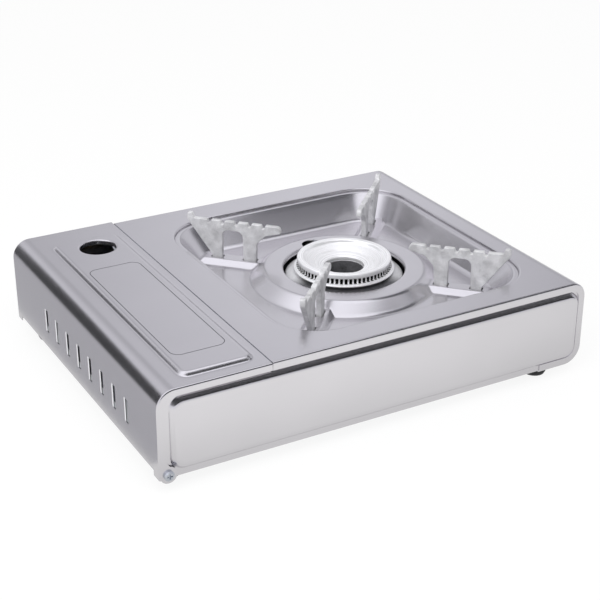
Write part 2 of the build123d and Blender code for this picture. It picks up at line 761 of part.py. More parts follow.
def leg_slots():
    """The two slots that a support's legs pass through."""
    half = support_thickness / 2 + leg_slot_clearance
    cut = None
    for s0, s1 in (leg_inner, leg_outer):
        slot = block(s0 - leg_slot_clearance, s1 + leg_slot_clearance, -half, half,
                     rib_top_z - 2 * sheet, rib_top_z + eps)
        cut = slot if cut is None else cut + slot
    return cut


def pot_support(number):
    """A toothed plate with two legs, an arch between them, a horn outside and a nose over the burner."""
    foot_z = rib_top_z - leg_depth
    mid_leg = (leg_inner[1] + leg_outer[0]) / 2
    arch = RectangleRounded(leg_outer[0] - leg_inner[1] - 1.0, 2 * (arch_top_z - rib_top_z), arch_corner_r)
    top = [(tip_s + inward, support_top_z - drop) for inward, drop in tip_corner]
    for index in range(notch_count):
        s = notch_first_s + index * notch_pitch
        top += [(s - notch_width / 2, support_top_z), (s - notch_width / 4, support_top_z - notch_depth),
                (s + notch_width / 4, support_top_z - notch_depth), (s + notch_width / 2, support_top_z)]
    top += [(horn_inner_s, support_top_z), (horn_inner_s + horn_slope, horn_z), (horn_outer_s, horn_z)]
    outer = [(horn_outer_s, support_top_z), (leg_outer[1], rib_top_z), (leg_outer[1], foot_z),
             (leg_outer[0], foot_z), (leg_outer[0], rib_top_z), (mid_leg, rib_top_z + eps),
             (leg_inner[1], rib_top_z), (leg_inner[1], foot_z), (leg_inner[0], foot_z)]
    nose = [(leg_inner[0] - nose_root_reach, nose_root_z), *nose_curve,
            (nose_flat_s, tip_z - nose_flat_drop), (tip_s, tip_z)]
    outline = make_face(Polyline(*(top + outer + nose), close=True))
    outline -= Location((mid_leg, rib_top_z)) * arch
    plate = extrude(Plane.XZ * outline, amount=support_thickness / 2, both=True)
    return along_support(number, plate)


# ---- Burner ----
def burner_head():
    """The machined ring: dished top, flame ports under its rim and a rounded bead below them."""
    cavity_r = head_r - head_wall
    port_z1 = port_z0 + port_height
    groove_r = head_r - port_sill
    top = [(centre_hole_r, head_seat_z), (centre_hole_r, dish_centre_z), (dish_r, dish_edge_z),
           (dish_step_r, dish_step_z), (dish_rim_r, head_top_z), (head_r - head_edge, head_top_z),
           (head_r, head_top_z - head_edge), (head_r, port_z1 + port_sill / 3)]
    groove = [(groove_r, port_z1), (groove_r, port_z0)]
    bead = [(head_r + reach, port_z0 - drop) for reach, drop in zip(bead_reaches, bead_drops)]
    inside = [(head_r - head_foot_inset, head_seat_z), (cavity_r, head_seat_z), (cavity_r, cavity_top_z),
              (cavity_inner_r, cavity_low_z), (cavity_inner_r, head_seat_z)]
    head = turned(top + groove + bead + inside)
    port = block(cavity_r - 0.4, head_r + 0.2, -port_width / 2, port_width / 2,
                 port_z0, port_z0 + port_height)
    ports = [Location((0, 0, 0), (0, 0, 360 * index / port_count)) * port for index in range(port_count)]
    return at_burner(head - ports)


def burner_body():
    """The cast bowl: outer wall with a sloped flange, inner air tube, foot ring and the inlet boss."""
    inner_r = centre_hole_r - 0.6
    skirt_r = head_r - 0.7
    flange_z0 = burner_flange_z - burner_flange_thickness
    section = [(inner_r, bowl_bottom_z), (inner_r, head_seat_z), (inner_r + 2.4, head_seat_z),
               (inner_r + 2.4, bowl_bottom_z + bowl_wall), (bowl_r - bowl_wall, bowl_bottom_z + bowl_wall),
               (bowl_r - bowl_wall, head_seat_z), (skirt_r, head_seat_z),
               (skirt_r, burner_flange_z + burner_flange_rise),
               (burner_flange_r, burner_flange_z), (burner_flange_r, flange_z0), (bowl_r, flange_z0),
               (bowl_r, bowl_bottom_z), (bowl_foot_r, bowl_bottom_z),
               (bowl_foot_r, bracket_z + sheet), (inner_r, bracket_z + sheet)]
    bowl = turned(section)
    boss_r = tube_r + boss_wall
    inside = bowl_r - bowl_wall
    boss = along_tube(boss_r, inside - 1.0, bowl_r + boss_reach)
    boss -= rod(inside, (0, 0, bowl_bottom_z + bowl_wall), (0, 0, head_seat_z))
    bore = along_tube(tube_r, inside - 1.0, bowl_r + boss_reach + eps)
    return at_burner(bowl + boss - bore)


def along_tube(radius, start, end):
    """A round bar on the mixing tube's axis between two distances from the burner's axis."""
    near = tube_direction * start
    far = tube_direction * end
    return rod(radius, (near.X, near.Y, gas_z), (far.X, far.Y, gas_z))


def mixing_tube():
    """The straight tube that carries gas and air from the jet into the bowl."""
    near = bowl_r - bowl_wall + 1.0
    tube = along_tube(tube_r, near, tube_start)
    tube -= along_tube(tube_r - tube_wall, near - tube_r, tube_start + eps)
    bowl_space = rod(bowl_r - bowl_wall, (0, 0, bowl_bottom_z), (0, 0, head_seat_z))
    return at_burner(tube - bowl_space)


def air_collar():
    """A ring round the tube's inlet end that draws air in round the jet."""
    end = tube_start + collar_overhang
    ring = along_tube(collar_r, end - collar_length, end)
    return at_burner(ring - along_tube(tube_r, end - collar_length - eps, end + eps))


def tube_clip():
    """A saddle on the base pan that holds the inlet end of the mixing tube."""
    middle = tube_direction * (tube_start - clip_back)
    half = clip_half_length
    side = tube_r + 2 * clip_wall
    clip = block(-half, half, -side, side, base_z1, gas_z + tube_r + clip_top)
    clip += block(-half, half, -side - clip_foot, side + clip_foot, base_z1, base_z1 + clip_wall)
    hollow_z = gas_z - tube_r - 2 * clip_wall
    clip -= block(-half - eps, half + eps, -side + clip_wall, side - clip_wall, base_z1 - eps, hollow_z)
    clip = fillet(clip.edges().filter_by(Axis.X).group_by(Axis.Z)[-1], tube_r / 2)
    clip -= rod(tube_r, (-half - eps, 0, gas_z), (half + eps, 0, gas_z))
    angle = math.degrees(math.atan2(tube_direction.Y, tube_direction.X))
    return at_burner(Location((middle.X, middle.Y, 0), (0, 0, angle)) * clip)


def burner_bracket():
    """A sheet bridge screwed to the base pan, with the bowl's foot on it."""
    length = bracket_half_length
    width = bracket_half_width
    bridge = block(-length, length, -width, width, base_z1, bracket_z + sheet)
    bridge -= block(-length + sheet, length - sheet, -width - eps, width + eps, base_z1 - eps, bracket_z)
    for foot_x0 in (-length - bracket_foot, length - sheet):
        bridge += block(foot_x0, foot_x0 + bracket_foot + sheet, -width, width, base_z1, base_z1 + sheet)
    bridge -= rod(centre_hole_r - 0.6, (0, 0, bracket_z - eps), (0, 0, bracket_z + 2))
    bridge = at_burner(bridge)
    for x, y in bracket_screw_places():
        bridge -= rod(screw_r, (x, y, base_z0), (x, y, base_z1 + sheet + eps))
    return bridge


def bracket_screw_places():
    """Centres of the four screws in the bracket's feet."""
    reach_x = bracket_half_length + bracket_foot / 2
    reach_y = bracket_half_width - bracket_screw_inset
    return [(burner_x + x, burner_y + y) for x in (-reach_x, reach_x) for y in (-reach_y, reach_y)]


def bracket_screw(x, y):
    """A small round-head screw that holds a foot of the bracket."""
    seat = base_z1 + sheet
    head = rod(screw_head_r, (x, y, seat), (x, y, seat + screw_head_height))
    return head + rod(screw_r, (x, y, base_z1), (x, y, seat))


# ---- Gas train ----
def regulator_body():
    """The cast block that lowers the cartridge's pressure."""
    width, depth, height = regulator_size
    solid = block(cartridge_x - width / 2, cartridge_x + width / 2, regulator_front_y, regulator_plate_y,
                  seat_z - height / 2, seat_z + height / 2)
    return chamfer(solid.edges().filter_by(Axis.Y), 2.0)


def regulator_cap():
    """The domed cover over the regulator's diaphragm."""
    z0 = seat_z + regulator_size[2] / 2
    r = regulator_cap_r
    dome = turned([(0, 0), (r, 0), (r, 2.0), (r - 3.0, regulator_cap_height), (0, regulator_cap_height)])
    return Location((cartridge_x, (regulator_front_y + regulator_plate_y) / 2, z0)) * dome


def regulator_screws():
    """Two screws whose heads hold the rim of the regulator's cap."""
    z0 = seat_z + regulator_size[2] / 2
    y = (regulator_front_y + regulator_plate_y) / 2
    reach = regulator_cap_r + screw_head_r
    xs = (cartridge_x - reach, cartridge_x + reach)
    return [rod(screw_head_r, (x, y, z0), (x, y, z0 + screw_head_height)) for x in xs]


def regulator_bracket():
    """An angle on the base pan: its upright plate carries the regulator in front and the seat behind."""
    y0 = regulator_plate_y
    y1 = y0 + bracket_sheet
    plate = block(bracket_plate_x0, bracket_plate_x1, y0, y1, base_z1, bracket_plate_z1)
    foot_z1 = base_z1 + bracket_sheet
    plate += block(bracket_plate_x0, bracket_plate_x1, y0 - regulator_foot, y1, base_z1, foot_z1)
    return plate - rod(seat_hole_r, (cartridge_x, y0 - eps, seat_z), (cartridge_x, y1 + eps, seat_z))


def cartridge_seat():
    """The collar that takes the cartridge's neck, with the key that fits the notch in its flange."""
    y0 = regulator_plate_y + bracket_sheet
    y1 = y0 + seat_length
    ring = rod(seat_r, (cartridge_x, y0, seat_z), (cartridge_x, y1, seat_z))
    ring -= rod(seat_hole_r, (cartridge_x, y0 - eps, seat_z), (cartridge_x, y1 + eps, seat_z))
    half = seat_key_width / 2
    key_z0 = seat_z + seat_hole_r - half
    return ring + block(cartridge_x - half, cartridge_x + half, y0, y1, key_z0, seat_z + seat_r - eps)


def inlet_pin():
    """The brass nipple that opens the cartridge's valve."""
    y0 = regulator_plate_y
    y1 = y0 + inlet_pin_length
    pin = rod(inlet_pin_r, (cartridge_x, y0, seat_z), (cartridge_x, y1, seat_z))
    return pin - rod(inlet_bore_r, (cartridge_x, y0 + eps, seat_z), (cartridge_x, y1 + eps, seat_z))


def seat_seal():
    """The rubber ring round the nipple."""
    y0 = regulator_plate_y
    y1 = y0 + seal_length
    ring = rod(inlet_pin_r + seal_width, (cartridge_x, y0, seat_z), (cartridge_x, y1, seat_z))
    return ring - rod(inlet_pin_r, (cartridge_x, y0 - eps, seat_z), (cartridge_x, y1 + eps, seat_z))


def valve_body():
    """The gas tap in front of the regulator."""
    barrel = on_valve_axis(valve_r, valve_front_y, regulator_front_y)
    bore_r = stem_r + stem_clearance
    return barrel - on_valve_axis(bore_r, valve_front_y - eps, regulator_front_y - valve_bore_end)


def on_valve_axis(radius, y0, y1):
    """A round bar on the spindle's axis."""
    return rod(radius, (cartridge_x, y0, valve_axis_z), (cartridge_x, y1, valve_axis_z))


def cam_mid_y():
    """Middle of the ignition cam's thickness."""
    return (cam_front_y + cam_rear_y) / 2


def valve_stem():
    """The knob's spindle with the ignition cam on it: a spiral that lifts evenly over the knob's travel."""
    stem_end_y = regulator_front_y - valve_bore_end - plunger_gap
    stem = on_valve_axis(stem_r, knob_back_y() - stem_in_knob, stem_end_y)
    points = []
    contact = 270
    dwell = 20
    for degrees in range(contact - int(cam_sweep) - dwell, contact + dwell + 1, 10):
        turned_by = min(max(contact - degrees, 0), cam_sweep)
        radius = cam_r_rest + cam_rise * turned_by / cam_sweep
        points.append((radius * math.cos(math.radians(degrees)), radius * math.sin(math.radians(degrees))))
    rise = Spline(*points)
    back = ThreePointArc(rise @ 1, (cam_r_rest * 0.8, cam_r_rest * 0.75), rise @ 0)
    face = make_face([rise, back])
    cam = extrude(Plane.XZ * face, amount=cam_rear_y - cam_front_y)
    return stem + cam.moved(Location((cartridge_x, cam_rear_y, valve_axis_z)))


def panel_bush():
    """The plastic bearing of the spindle in the front panel."""
    outer_y = -half_depth - field_rise + sheet
    inner_y = outer_y + bush_length
    bush = on_valve_axis(bush_r, outer_y, inner_y)
    bush += on_valve_axis(bush_r + bush_flange, outer_y + sheet, inner_y)
    return bush - on_valve_axis(stem_r + stem_clearance, outer_y - eps, inner_y + eps)


def knob_back_y():
    """The face of the knob next to the front panel."""
    return -front_reach + knob_length


def control_knob():
    """A round knob with a bar to grip and a sunk pointer line."""
    disc = knob_length - knob_grip_depth
    neck_r = knob_r - knob_shoulder
    rim = [(knob_r, 0), (knob_r, knob_edge), (neck_r + 1.0, disc - 0.8), (neck_r, disc)]
    knob = turned([(0, 0), *rim, (0, disc)])
    half_grip = knob_grip_width / 2
    bar = block(-half_grip, half_grip, -neck_r, neck_r, disc - eps, knob_length)
    bar = fillet(bar.edges().filter_by(Axis.Z), knob_grip_width / 3)
    bar = chamfer(bar.faces().sort_by(Axis.Z)[-1].edges(), 1.0)
    knob += bar
    half_line = pointer_width / 2
    line_y1 = neck_r - 1.5
    knob -= block(-half_line, half_line, line_y1 - pointer_length, line_y1,
                  knob_length - pointer_depth, knob_length + eps)
    knob -= rod(stem_r, (0, 0, -eps), (0, 0, stem_in_knob))
    return Location((cartridge_x, knob_back_y(), valve_axis_z), (90, 0, 0)) * knob


def gas_pipe():
    """The thin pipe from the regulator through the partition to the jet's holder."""
    x0 = jet_x + jet_holder_size / 2
    return rod(pipe_r, (x0, jet_y, gas_z), (cartridge_x - regulator_size[0] / 2, jet_y, gas_z))


def jet_holder():
    """A brass block that turns the gas towards the burner."""
    half = jet_holder_size / 2
    solid = block(jet_x - half, jet_x + half, jet_y - half, jet_y + half, gas_z - half, gas_z + half)
    out = Vector(jet_x, jet_y, gas_z) - tube_direction * (half * 1.7)
    return solid + rod(jet_r + 1.0, (jet_x, jet_y, gas_z), tuple(out))


def jet_nozzle():
    """The jet that blows gas into the mixing tube."""
    start = Vector(jet_x, jet_y, gas_z) - tube_direction * (jet_holder_size / 2 * 1.7)
    end = start - tube_direction * jet_length
    nozzle = rod(jet_r, tuple(start), tuple(end))
    return nozzle - rod(jet_bore_r, tuple(start - tube_direction * 2), tuple(end - tube_direction * 2))


# ---- Ignition ----
def igniter_body():
    """The piezo unit under the cam, with the bore that its plunger slides in."""
    width, depth, height = igniter_size
    y = cam_mid_y()
    y0 = y + igniter_offset_y - depth / 2
    y1 = y0 + depth
    solid = block(cartridge_x - width / 2, cartridge_x + width / 2, y0, y1, igniter_z0, igniter_z0 + height)
    ear_x = width / 2 + igniter_ear
    solid += block(cartridge_x - ear_x, cartridge_x + ear_x, y, y1, base_z1, igniter_z0 + igniter_ear_height)
    top = igniter_z0 + height + eps
    bottom = plunger_tip_z() - cam_rise - plunger_sunk - 3.0
    return solid - rod(plunger_r + plunger_clearance, (cartridge_x, y, bottom), (cartridge_x, y, top))


def plunger_tip_z():
    """Top of the plunger at rest, just under the cam."""
    return valve_axis_z - cam_r_rest - plunger_gap


def igniter_plunger():
    """The round-tipped plunger that the cam drives down."""
    tip_z = plunger_tip_z()
    bottom = tip_z - cam_rise - plunger_sunk + 2.0
    pin = rod(plunger_r, (0, 0, bottom), (0, 0, tip_z - plunger_r))
    pin += Location((0, 0, tip_z - plunger_r)) * Sphere(plunger_r)
    return Location((cartridge_x, cam_mid_y(), 0)) * pin


def ignition_lead():
    """The insulated lead from the piezo unit, through the partition, to the electrode."""
    y = cam_mid_y() + igniter_offset_y
    exit_z = lead_z + lead_exit_rise
    points = [(cartridge_x - igniter_size[0] / 2, y, exit_z), (partition_x0 - lead_first_run, y, exit_z),
              (burner_x + lead_turn_x, lead_turn_y - half_depth, lead_z),
              (burner_x + lead_bend_x, electrode_y - lead_bend_back, lead_z),
              (burner_x, electrode_y - lead_end_back, lead_z),
              (burner_x, electrode_y, lead_z + lead_end_rise), (burner_x, electrode_y, insulator_z0)]
    bends = [lead_bend_r, lead_middle_r, lead_last_r, lead_floor_r, lead_up_r]
    path = FilletPolyline(*points, radius=bends)
    section = Plane(origin=path @ 0, z_dir=path % 0) * Circle(lead_r)
    return sweep(section, path=path)


def electrode_insulator():
    """The white ceramic sleeve of the spark electrode."""
    shoulder = [(insulator_r - 0.6, insulator_z1), (insulator_r, insulator_z1 - 1.0)]
    sleeve = turned([(electrode_r, insulator_z0), (electrode_r, insulator_z1), *shoulder,
                     (insulator_r, insulator_z0)])
    return Location((burner_x, electrode_y, 0)) * sleeve


def electrode_rod():
    """The bent wire whose tip faces the flame ports."""
    reach = electrode_notch_reach - electrode_tip_reach
    corners = [(0, 0, insulator_z0 + 1.0), (0, 0, electrode_tip_z), (0, reach, electrode_tip_z)]
    path = FilletPolyline(*corners, radius=electrode_bend_r)
    section = Plane(origin=path @ 0, z_dir=path % 0) * Circle(electrode_r)
    return Location((burner_x, electrode_y, 0)) * sweep(section, path=path)


def electrode_bracket():
    """A small strap from the bowl's flange that grips the ceramic."""
    half = electrode_strap_width / 2
    z1 = burner_flange_z - burner_flange_thickness
    z0 = z1 - electrode_strap
    y0 = electrode_y - half
    y1 = burner_y - bowl_r - 2.0
    strap = block(burner_x - half, burner_x + half, y0, y1, z0, z1)
    return strap - rod(insulator_r, (burner_x, electrode_y, z0 - eps), (burner_x, electrode_y, z1 + eps))


# ---- Cartridge lock ----
def lever_turned(shape):
    """Turns a piece made with the lever level to the lever's raised rest position."""
    return shape.rotate(Axis((0, lever_pivot_y, lever_pivot_z), (1, 0, 0)), lever_rest_angle)


def lock_lever():
    """A bell-crank plate: one arm out through the front panel, one arm up to the pusher's rod."""
    half = lever_arm_half_height
    y, z = lever_pivot_y, lever_pivot_z
    plate = block(lever_x0, lever_x1, y - lever_handle_reach, y + half, z - half, z + half)
    plate += block(lever_x0, lever_x1, y - half, y + half, z, z + lever_arm_reach + half)
    hole_r = lever_pivot_r + lever_pivot_clearance
    plate -= rod(hole_r, (lever_x0 - eps, y, z), (lever_x1 + eps, y, z))
    plate += rod(lever_pin_r, (lever_x1, y, z + lever_arm_reach), (rod_x1, y, z + lever_arm_reach))
    return lever_turned(plate)


def lever_grip():
    """The plastic thumb piece on the end of the lever."""
    width, depth, height = grip_size
    y0 = lever_pivot_y - lever_handle_reach - grip_wall
    x = (lever_x0 + lever_x1) / 2
    z0 = lever_pivot_z - height / 2
    grip = block(x - width / 2, x + width / 2, y0, y0 + depth, z0, z0 + height)
    grip = fillet(grip.edges().filter_by(Axis.X), grip_wall)
    half = lever_arm_half_height
    end_y = y0 + depth + eps
    grip -= block(lever_x0, lever_x1, y0 + grip_wall, end_y, lever_pivot_z - half, lever_pivot_z + half)
    return lever_turned(grip)


def lever_pivot():
    """The headed rivet in the partition that the lever turns on."""
    y, z = lever_pivot_y, lever_pivot_z
    head_x = lever_x1 + lever_side_play
    head_r = lever_pivot_r + lever_rivet_head
    pin = rod(lever_pivot_r, (partition_x1, y, z), (head_x, y, z))
    pin += rod(head_r, (partition_x1, y, z), (lever_x0 - lever_side_play, y, z))
    return pin + rod(head_r, (head_x, y, z), (head_x + lever_rivet_height, y, z))


def pusher_rod():
    """The flat bar along the partition from the lever to the pusher plate, slotted for the lever's pin."""
    bar = block(rod_x0, rod_x1, rod_front_y, pusher_y0, rod_z - rod_half_height, rod_z + rod_half_height)
    sweep_back = lever_arm_reach * math.sin(math.radians(-lever_rest_angle))
    sweep_down = lever_arm_reach * (1 - math.cos(math.radians(lever_rest_angle)))
    y = lever_pivot_y + sweep_back
    half = lever_pin_r + pin_gap
    slot = block(rod_x0 - eps, rod_x1 + eps, y - half, y + half, rod_z - sweep_down - half, rod_z + half)
    return bar - slot


def pusher_plate():
    """The plate behind the cartridge, on the end of the rod."""
    plate = block(rod_x0, pusher_x1, pusher_y0, pusher_y1, pusher_z0, pusher_z1)
    return fillet(plate.edges().filter_by(Axis.Y), pusher_corner_r)


def pusher_spring():
    """The coil spring between the pusher plate and the rear panel."""
    length = panel_inner_y + field_rise - pusher_y1
    pitch = (length - 2 * spring_wire_r) / spring_turns
    coil = Helix(pitch=pitch, height=pitch * spring_turns, radius=spring_r)
    section = Plane(origin=coil @ 0, z_dir=coil % 0) * Circle(spring_wire_r)
    wire = sweep(section, path=coil)
    return Location((cartridge_x, pusher_y1 + spring_wire_r, cartridge_z), (-90, 0, 0)) * wire


def rod_guide(y):
    """A channel on the partition that the rod slides in."""
    z0 = rod_z - rod_half_height - guide_gap
    z1 = rod_z + rod_half_height + guide_gap
    half = guide_width / 2
    guide = block(partition_x1, rod_x1 + guide_gap, y - half, y + half, z0 - guide_wall, z1 + guide_wall)
    return guide - block(rod_x0 - guide_gap, rod_x1 + eps, y - half - eps, y + half + eps, z0, z1)


# ---- Write every piece ----
foot_names = ("foot_front_left", "foot_rear_left", "foot_front_right", "foot_rear_right")

save("main_shell", main_shell())
save("rear_panel", end_panel())
save("front_panel", front_panel())
save("base_pan", base_pan())
save("partition", partition())
for foot_name, (foot_x, foot_y) in zip(foot_names, foot_places()):
    save(foot_name, foot(foot_x, foot_y))
save("foot_screws", Compound(children=[foot_screw(x, y) for x, y in foot_places()]))
save("cartridge_lid", cartridge_lid())
save("hinge_screws", Compound(children=[hinge_screw(-1), hinge_screw(1)]))
save("hinge_nuts", Compound(children=[hinge_nut(-1), hinge_nut(1)]))
save("hinge_spacers", Compound(children=[hinge_spacer(-1), hinge_spacer(1)]))
save("drip_tray", drip_tray())
for support_number in range(1, 5):
    save(f"pot_support_{support_number}", pot_support(support_number))
save("burner_head", burner_head())
save("burner_body", burner_body())
save("mixing_tube", mixing_tube())
save("air_collar", air_collar())
save("tube_clip", tube_clip())
save("burner_bracket", burner_bracket())
save("burner_screws", Compound(children=[bracket_screw(x, y) for x, y in bracket_screw_places()]))
save("regulator_body", regulator_body())
save("regulator_cap", regulator_cap())
save("regulator_screws", Compound(children=regulator_screws()))
save("regulator_bracket", regulator_bracket())
save("cartridge_seat", cartridge_seat())
save("seat_seal", seat_seal())
save("inlet_pin", inlet_pin())
save("valve_body", valve_body())
save("valve_stem", valve_stem())
save("panel_bush", panel_bush())
save("control_knob", control_knob())
save("gas_pipe", gas_pipe())
save("jet_holder", jet_holder())
save("jet_nozzle", jet_nozzle())
save("igniter_body", igniter_body())
save("igniter_plunger", igniter_plunger())
save("ignition_lead", ignition_lead())
save("electrode_insulator", electrode_insulator())
save("electrode_rod", electrode_rod())
save("electrode_bracket", electrode_bracket())
save("lock_lever", lock_lever())
save("lever_grip", lever_grip())
save("lever_pivot", lever_pivot())
save("pusher_rod", pusher_rod())
save("pusher_plate", pusher_plate())
save("pusher_spring", pusher_spring())
save("rod_guides", Compound(children=[rod_guide(y) for y in guide_ys]))
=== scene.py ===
"""Looks of the butane cassette stove: pressed stainless sheet, grit-blasted supports, cast burner parts.

Pieces are worked out in millimetres about the middle of the casing: X to the cartridge side, -Y to the
controls, Z up. to_frame() brings them to metres in the frame that the solids share.
"""
import json
import math

import bmesh
import bpy
import numpy as np
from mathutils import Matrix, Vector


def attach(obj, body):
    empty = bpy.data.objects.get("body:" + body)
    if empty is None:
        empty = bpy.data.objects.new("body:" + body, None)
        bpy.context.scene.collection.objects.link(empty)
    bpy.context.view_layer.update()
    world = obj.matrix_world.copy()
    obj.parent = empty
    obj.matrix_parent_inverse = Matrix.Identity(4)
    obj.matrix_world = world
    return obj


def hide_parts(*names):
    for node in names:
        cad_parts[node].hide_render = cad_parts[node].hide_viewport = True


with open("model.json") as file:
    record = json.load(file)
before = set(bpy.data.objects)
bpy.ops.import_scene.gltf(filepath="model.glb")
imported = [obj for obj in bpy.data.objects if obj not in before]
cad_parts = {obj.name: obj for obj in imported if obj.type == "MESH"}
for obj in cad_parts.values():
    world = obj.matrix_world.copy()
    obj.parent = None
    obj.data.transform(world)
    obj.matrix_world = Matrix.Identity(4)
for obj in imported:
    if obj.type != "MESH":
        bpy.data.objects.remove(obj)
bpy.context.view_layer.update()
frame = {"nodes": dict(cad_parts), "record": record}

MM = 0.001
body_middle_y = 9.05           # the casing's middle lies this far behind the frame's origin
sheet = 0.8
nested_sheet = 0.7             # walls of the cover and the panels, which lie against other sheets
touch = 0.01                   # places nearer than this are the same

# Casing
half_width = 170.0
half_depth = 134.5
top_z = 74.5
shell_bottom_z = 9.2
top_corner_r = 12.0
bottom_corner_r = 14.0
return_end_x = -133.0
rim_width = 5.8
bend_r = 1.3                   # outside of every folded edge
seam_x = 87.0
panel_y = 133.7
panel_x = (-168.9, 166.5)
panel_z = (10.3, 73.4)
panel_corner_rs = (13.0, 3.0, 12.6, 11.0)      # lower left, lower right, upper right, upper left
field_x = (-163.9, 161.4)
field_z = (15.3, 68.4)
field_rise = 4.0
field_corner_r = 10.0
knob_hole = (123.0, 40.0)
knob_hole_r = 6.05
lever_slot_x = (84.6, 88.2)
lever_slot_z = (24.8, 55.2)
lever_slot_r = 1.79

# Lines across the flat sheet, where its mesh has an edge
bend_hold = 0.7                # from a bend to the line beside it
edge_hold = 0.6                # from a sheared edge to the line beside it
flange_line = 0.35             # share of a flange's depth
side_line = 44.0               # down the left side from the top
return_line = 28.0             # along the return under it
block_step = 2.6               # round the parts of the top that are meshed as loops
shell_block_x = (66.0, -152.0)
shell_block_y = (-115.0, 119.0)
lid_block_step = 2.0
lid_block_x = (91.0, 151.0)
lid_block_y = (-116.0, 129.0)

# Cover
lid_x0 = 87.9
lid_y = (-138.0, 135.4)
lid_corner_r = 13.5
lid_top_rim = 5.2
lid_side_rim = 4.5
lid_side_bottom_z = 14.5
lid_ear_length = 9.0
hinge_x = 163.5
hinge_z = 13.4
ear_r = 6.0
ear_arc = (-27.95, -258.0)     # degrees, from the fold round below the hinge to the neck
ear_low_z = 10.59
ear_neck = ((164.0, 22.0), (165.0, 24.6))
ear_top_z = 27.0
plateau_x = (94.5, 147.5)
plateau_y = (-112.0, 125.0)
plateau_rise = 2.5
plateau_corner_r = 7.0
finger_hole = (117.7, -90.2)
finger_hole_r = 13.75
finger_hole_lip = 3.6
label_x = (101.8, 141.6)
label_y = (-52.0, 100.0)
label_corner_r = 7.0
label_line = 0.55
label_lift = 0.04
slot_ys = -67.0 + 21.6 * np.arange(8)
slot_half = 3.0
slot_z = (28.0, 46.0)
slot_end = 1.0                 # from a slot's end to the line inside it
blade_depth = 0.5

# Recess, tray and ring
burner = np.array((-44.5, 2.5))
recess = np.array((-42.75, 2.25))
recess_size = (205.5, 221.5, 40.0)
recess_flat = 1.8              # level sheet round the recess's fold
recess_fold_r = 1.2
ledge_z = 71.7
ledge_width = 2.5
ledge_fold_r = 0.5
ledge_line = 0.8               # from the recess's wall to the line on its ledge
tray_top_z = 72.5
tray_flange_size = (204.9, 220.9, 39.7)
tray_rim_size = (197.7, 213.7, 36.4)
tray_floor_z = 53.3
tray_floor_size = (172.8, 180.8, 26.0)
ring_opening_r = 46.3
ring_flat_r = 61.4
ring_foot_r = 71.4
ring_z = 62.0
ring_lip = 3.0
ring_fold_r = 1.2
ring_round = 1.6               # rounding at the top and the foot of the ring's slope
rib_top_z = 57.5
rib_half_width = 5.15
rib_start = 63.0               # the ribs rise out of the ring's slope from here on
rib_end = 112.0
rib_round = 0.55               # at the rib's upper edge
rib_blend = 1.1                # at its foot
notch_r = 8.5
notch_reach = 48.5

# Pan supports, as distances from the burner's axis and heights
support_angle = math.atan2(tray_floor_size[1], tray_floor_size[0])
support_angles = (-support_angle, support_angle - math.pi, math.pi - support_angle, support_angle)
support_half = 2.0
support_edge_r = 0.6
support_foot_z = 54.3
support_top_z = 88.0
horn_z = 92.0
horn_outer_s = 126.4
tip_s = 50.4
leg_spans = ((70.3, 80.4), (98.1, 106.3))
leg_slot_clearance = 0.85
leg_corner_r = 0.8
arch_top_z = 80.5
arch_lean = 0.5                # how much wider each leg is at the arch's top
arch_r = 5.0
tooth_count = 5
tooth_first_s = 64.3
tooth_pitch = 11.0
tooth_depth = 2.8

# Burner
head_r = 35.8
head_top_z = 70.8
head_hole_r = 15.3
head_foot_z = 60.0
port_count = 64
port_half_width = 1.05
port_z = (63.6, 67.2)
port_depth_r = 31.8
port_wall_r = 34.9
bead_r = 1.5
bead_centre = (37.1, 61.75)
bowl_r = 34.0
bowl_throat_r = 15.1
bowl_bottom_z = 29.9
bowl_flange_r = 45.0
bowl_flange_z = (55.0, 57.0)
painted_shade_way = (0.42, 0.91, 0.0)  # towards the rear, the camera's side, where the burner carries painted shade
painted_shade_span = (8.0, 26.0)       # where the painted shade begins and is full, from the burner's axis


# ---- Mesh helpers ----
def to_frame(points):
    """Millimetres about the casing's middle to metres in the shared frame."""
    return (np.asarray(points, float) + (0.0, body_middle_y, 0.0)) * MM


def put(name, data):
    """A new object in the scene, at the origin."""
    thing = bpy.data.objects.new(name, data)
    bpy.context.scene.collection.objects.link(thing)
    return thing


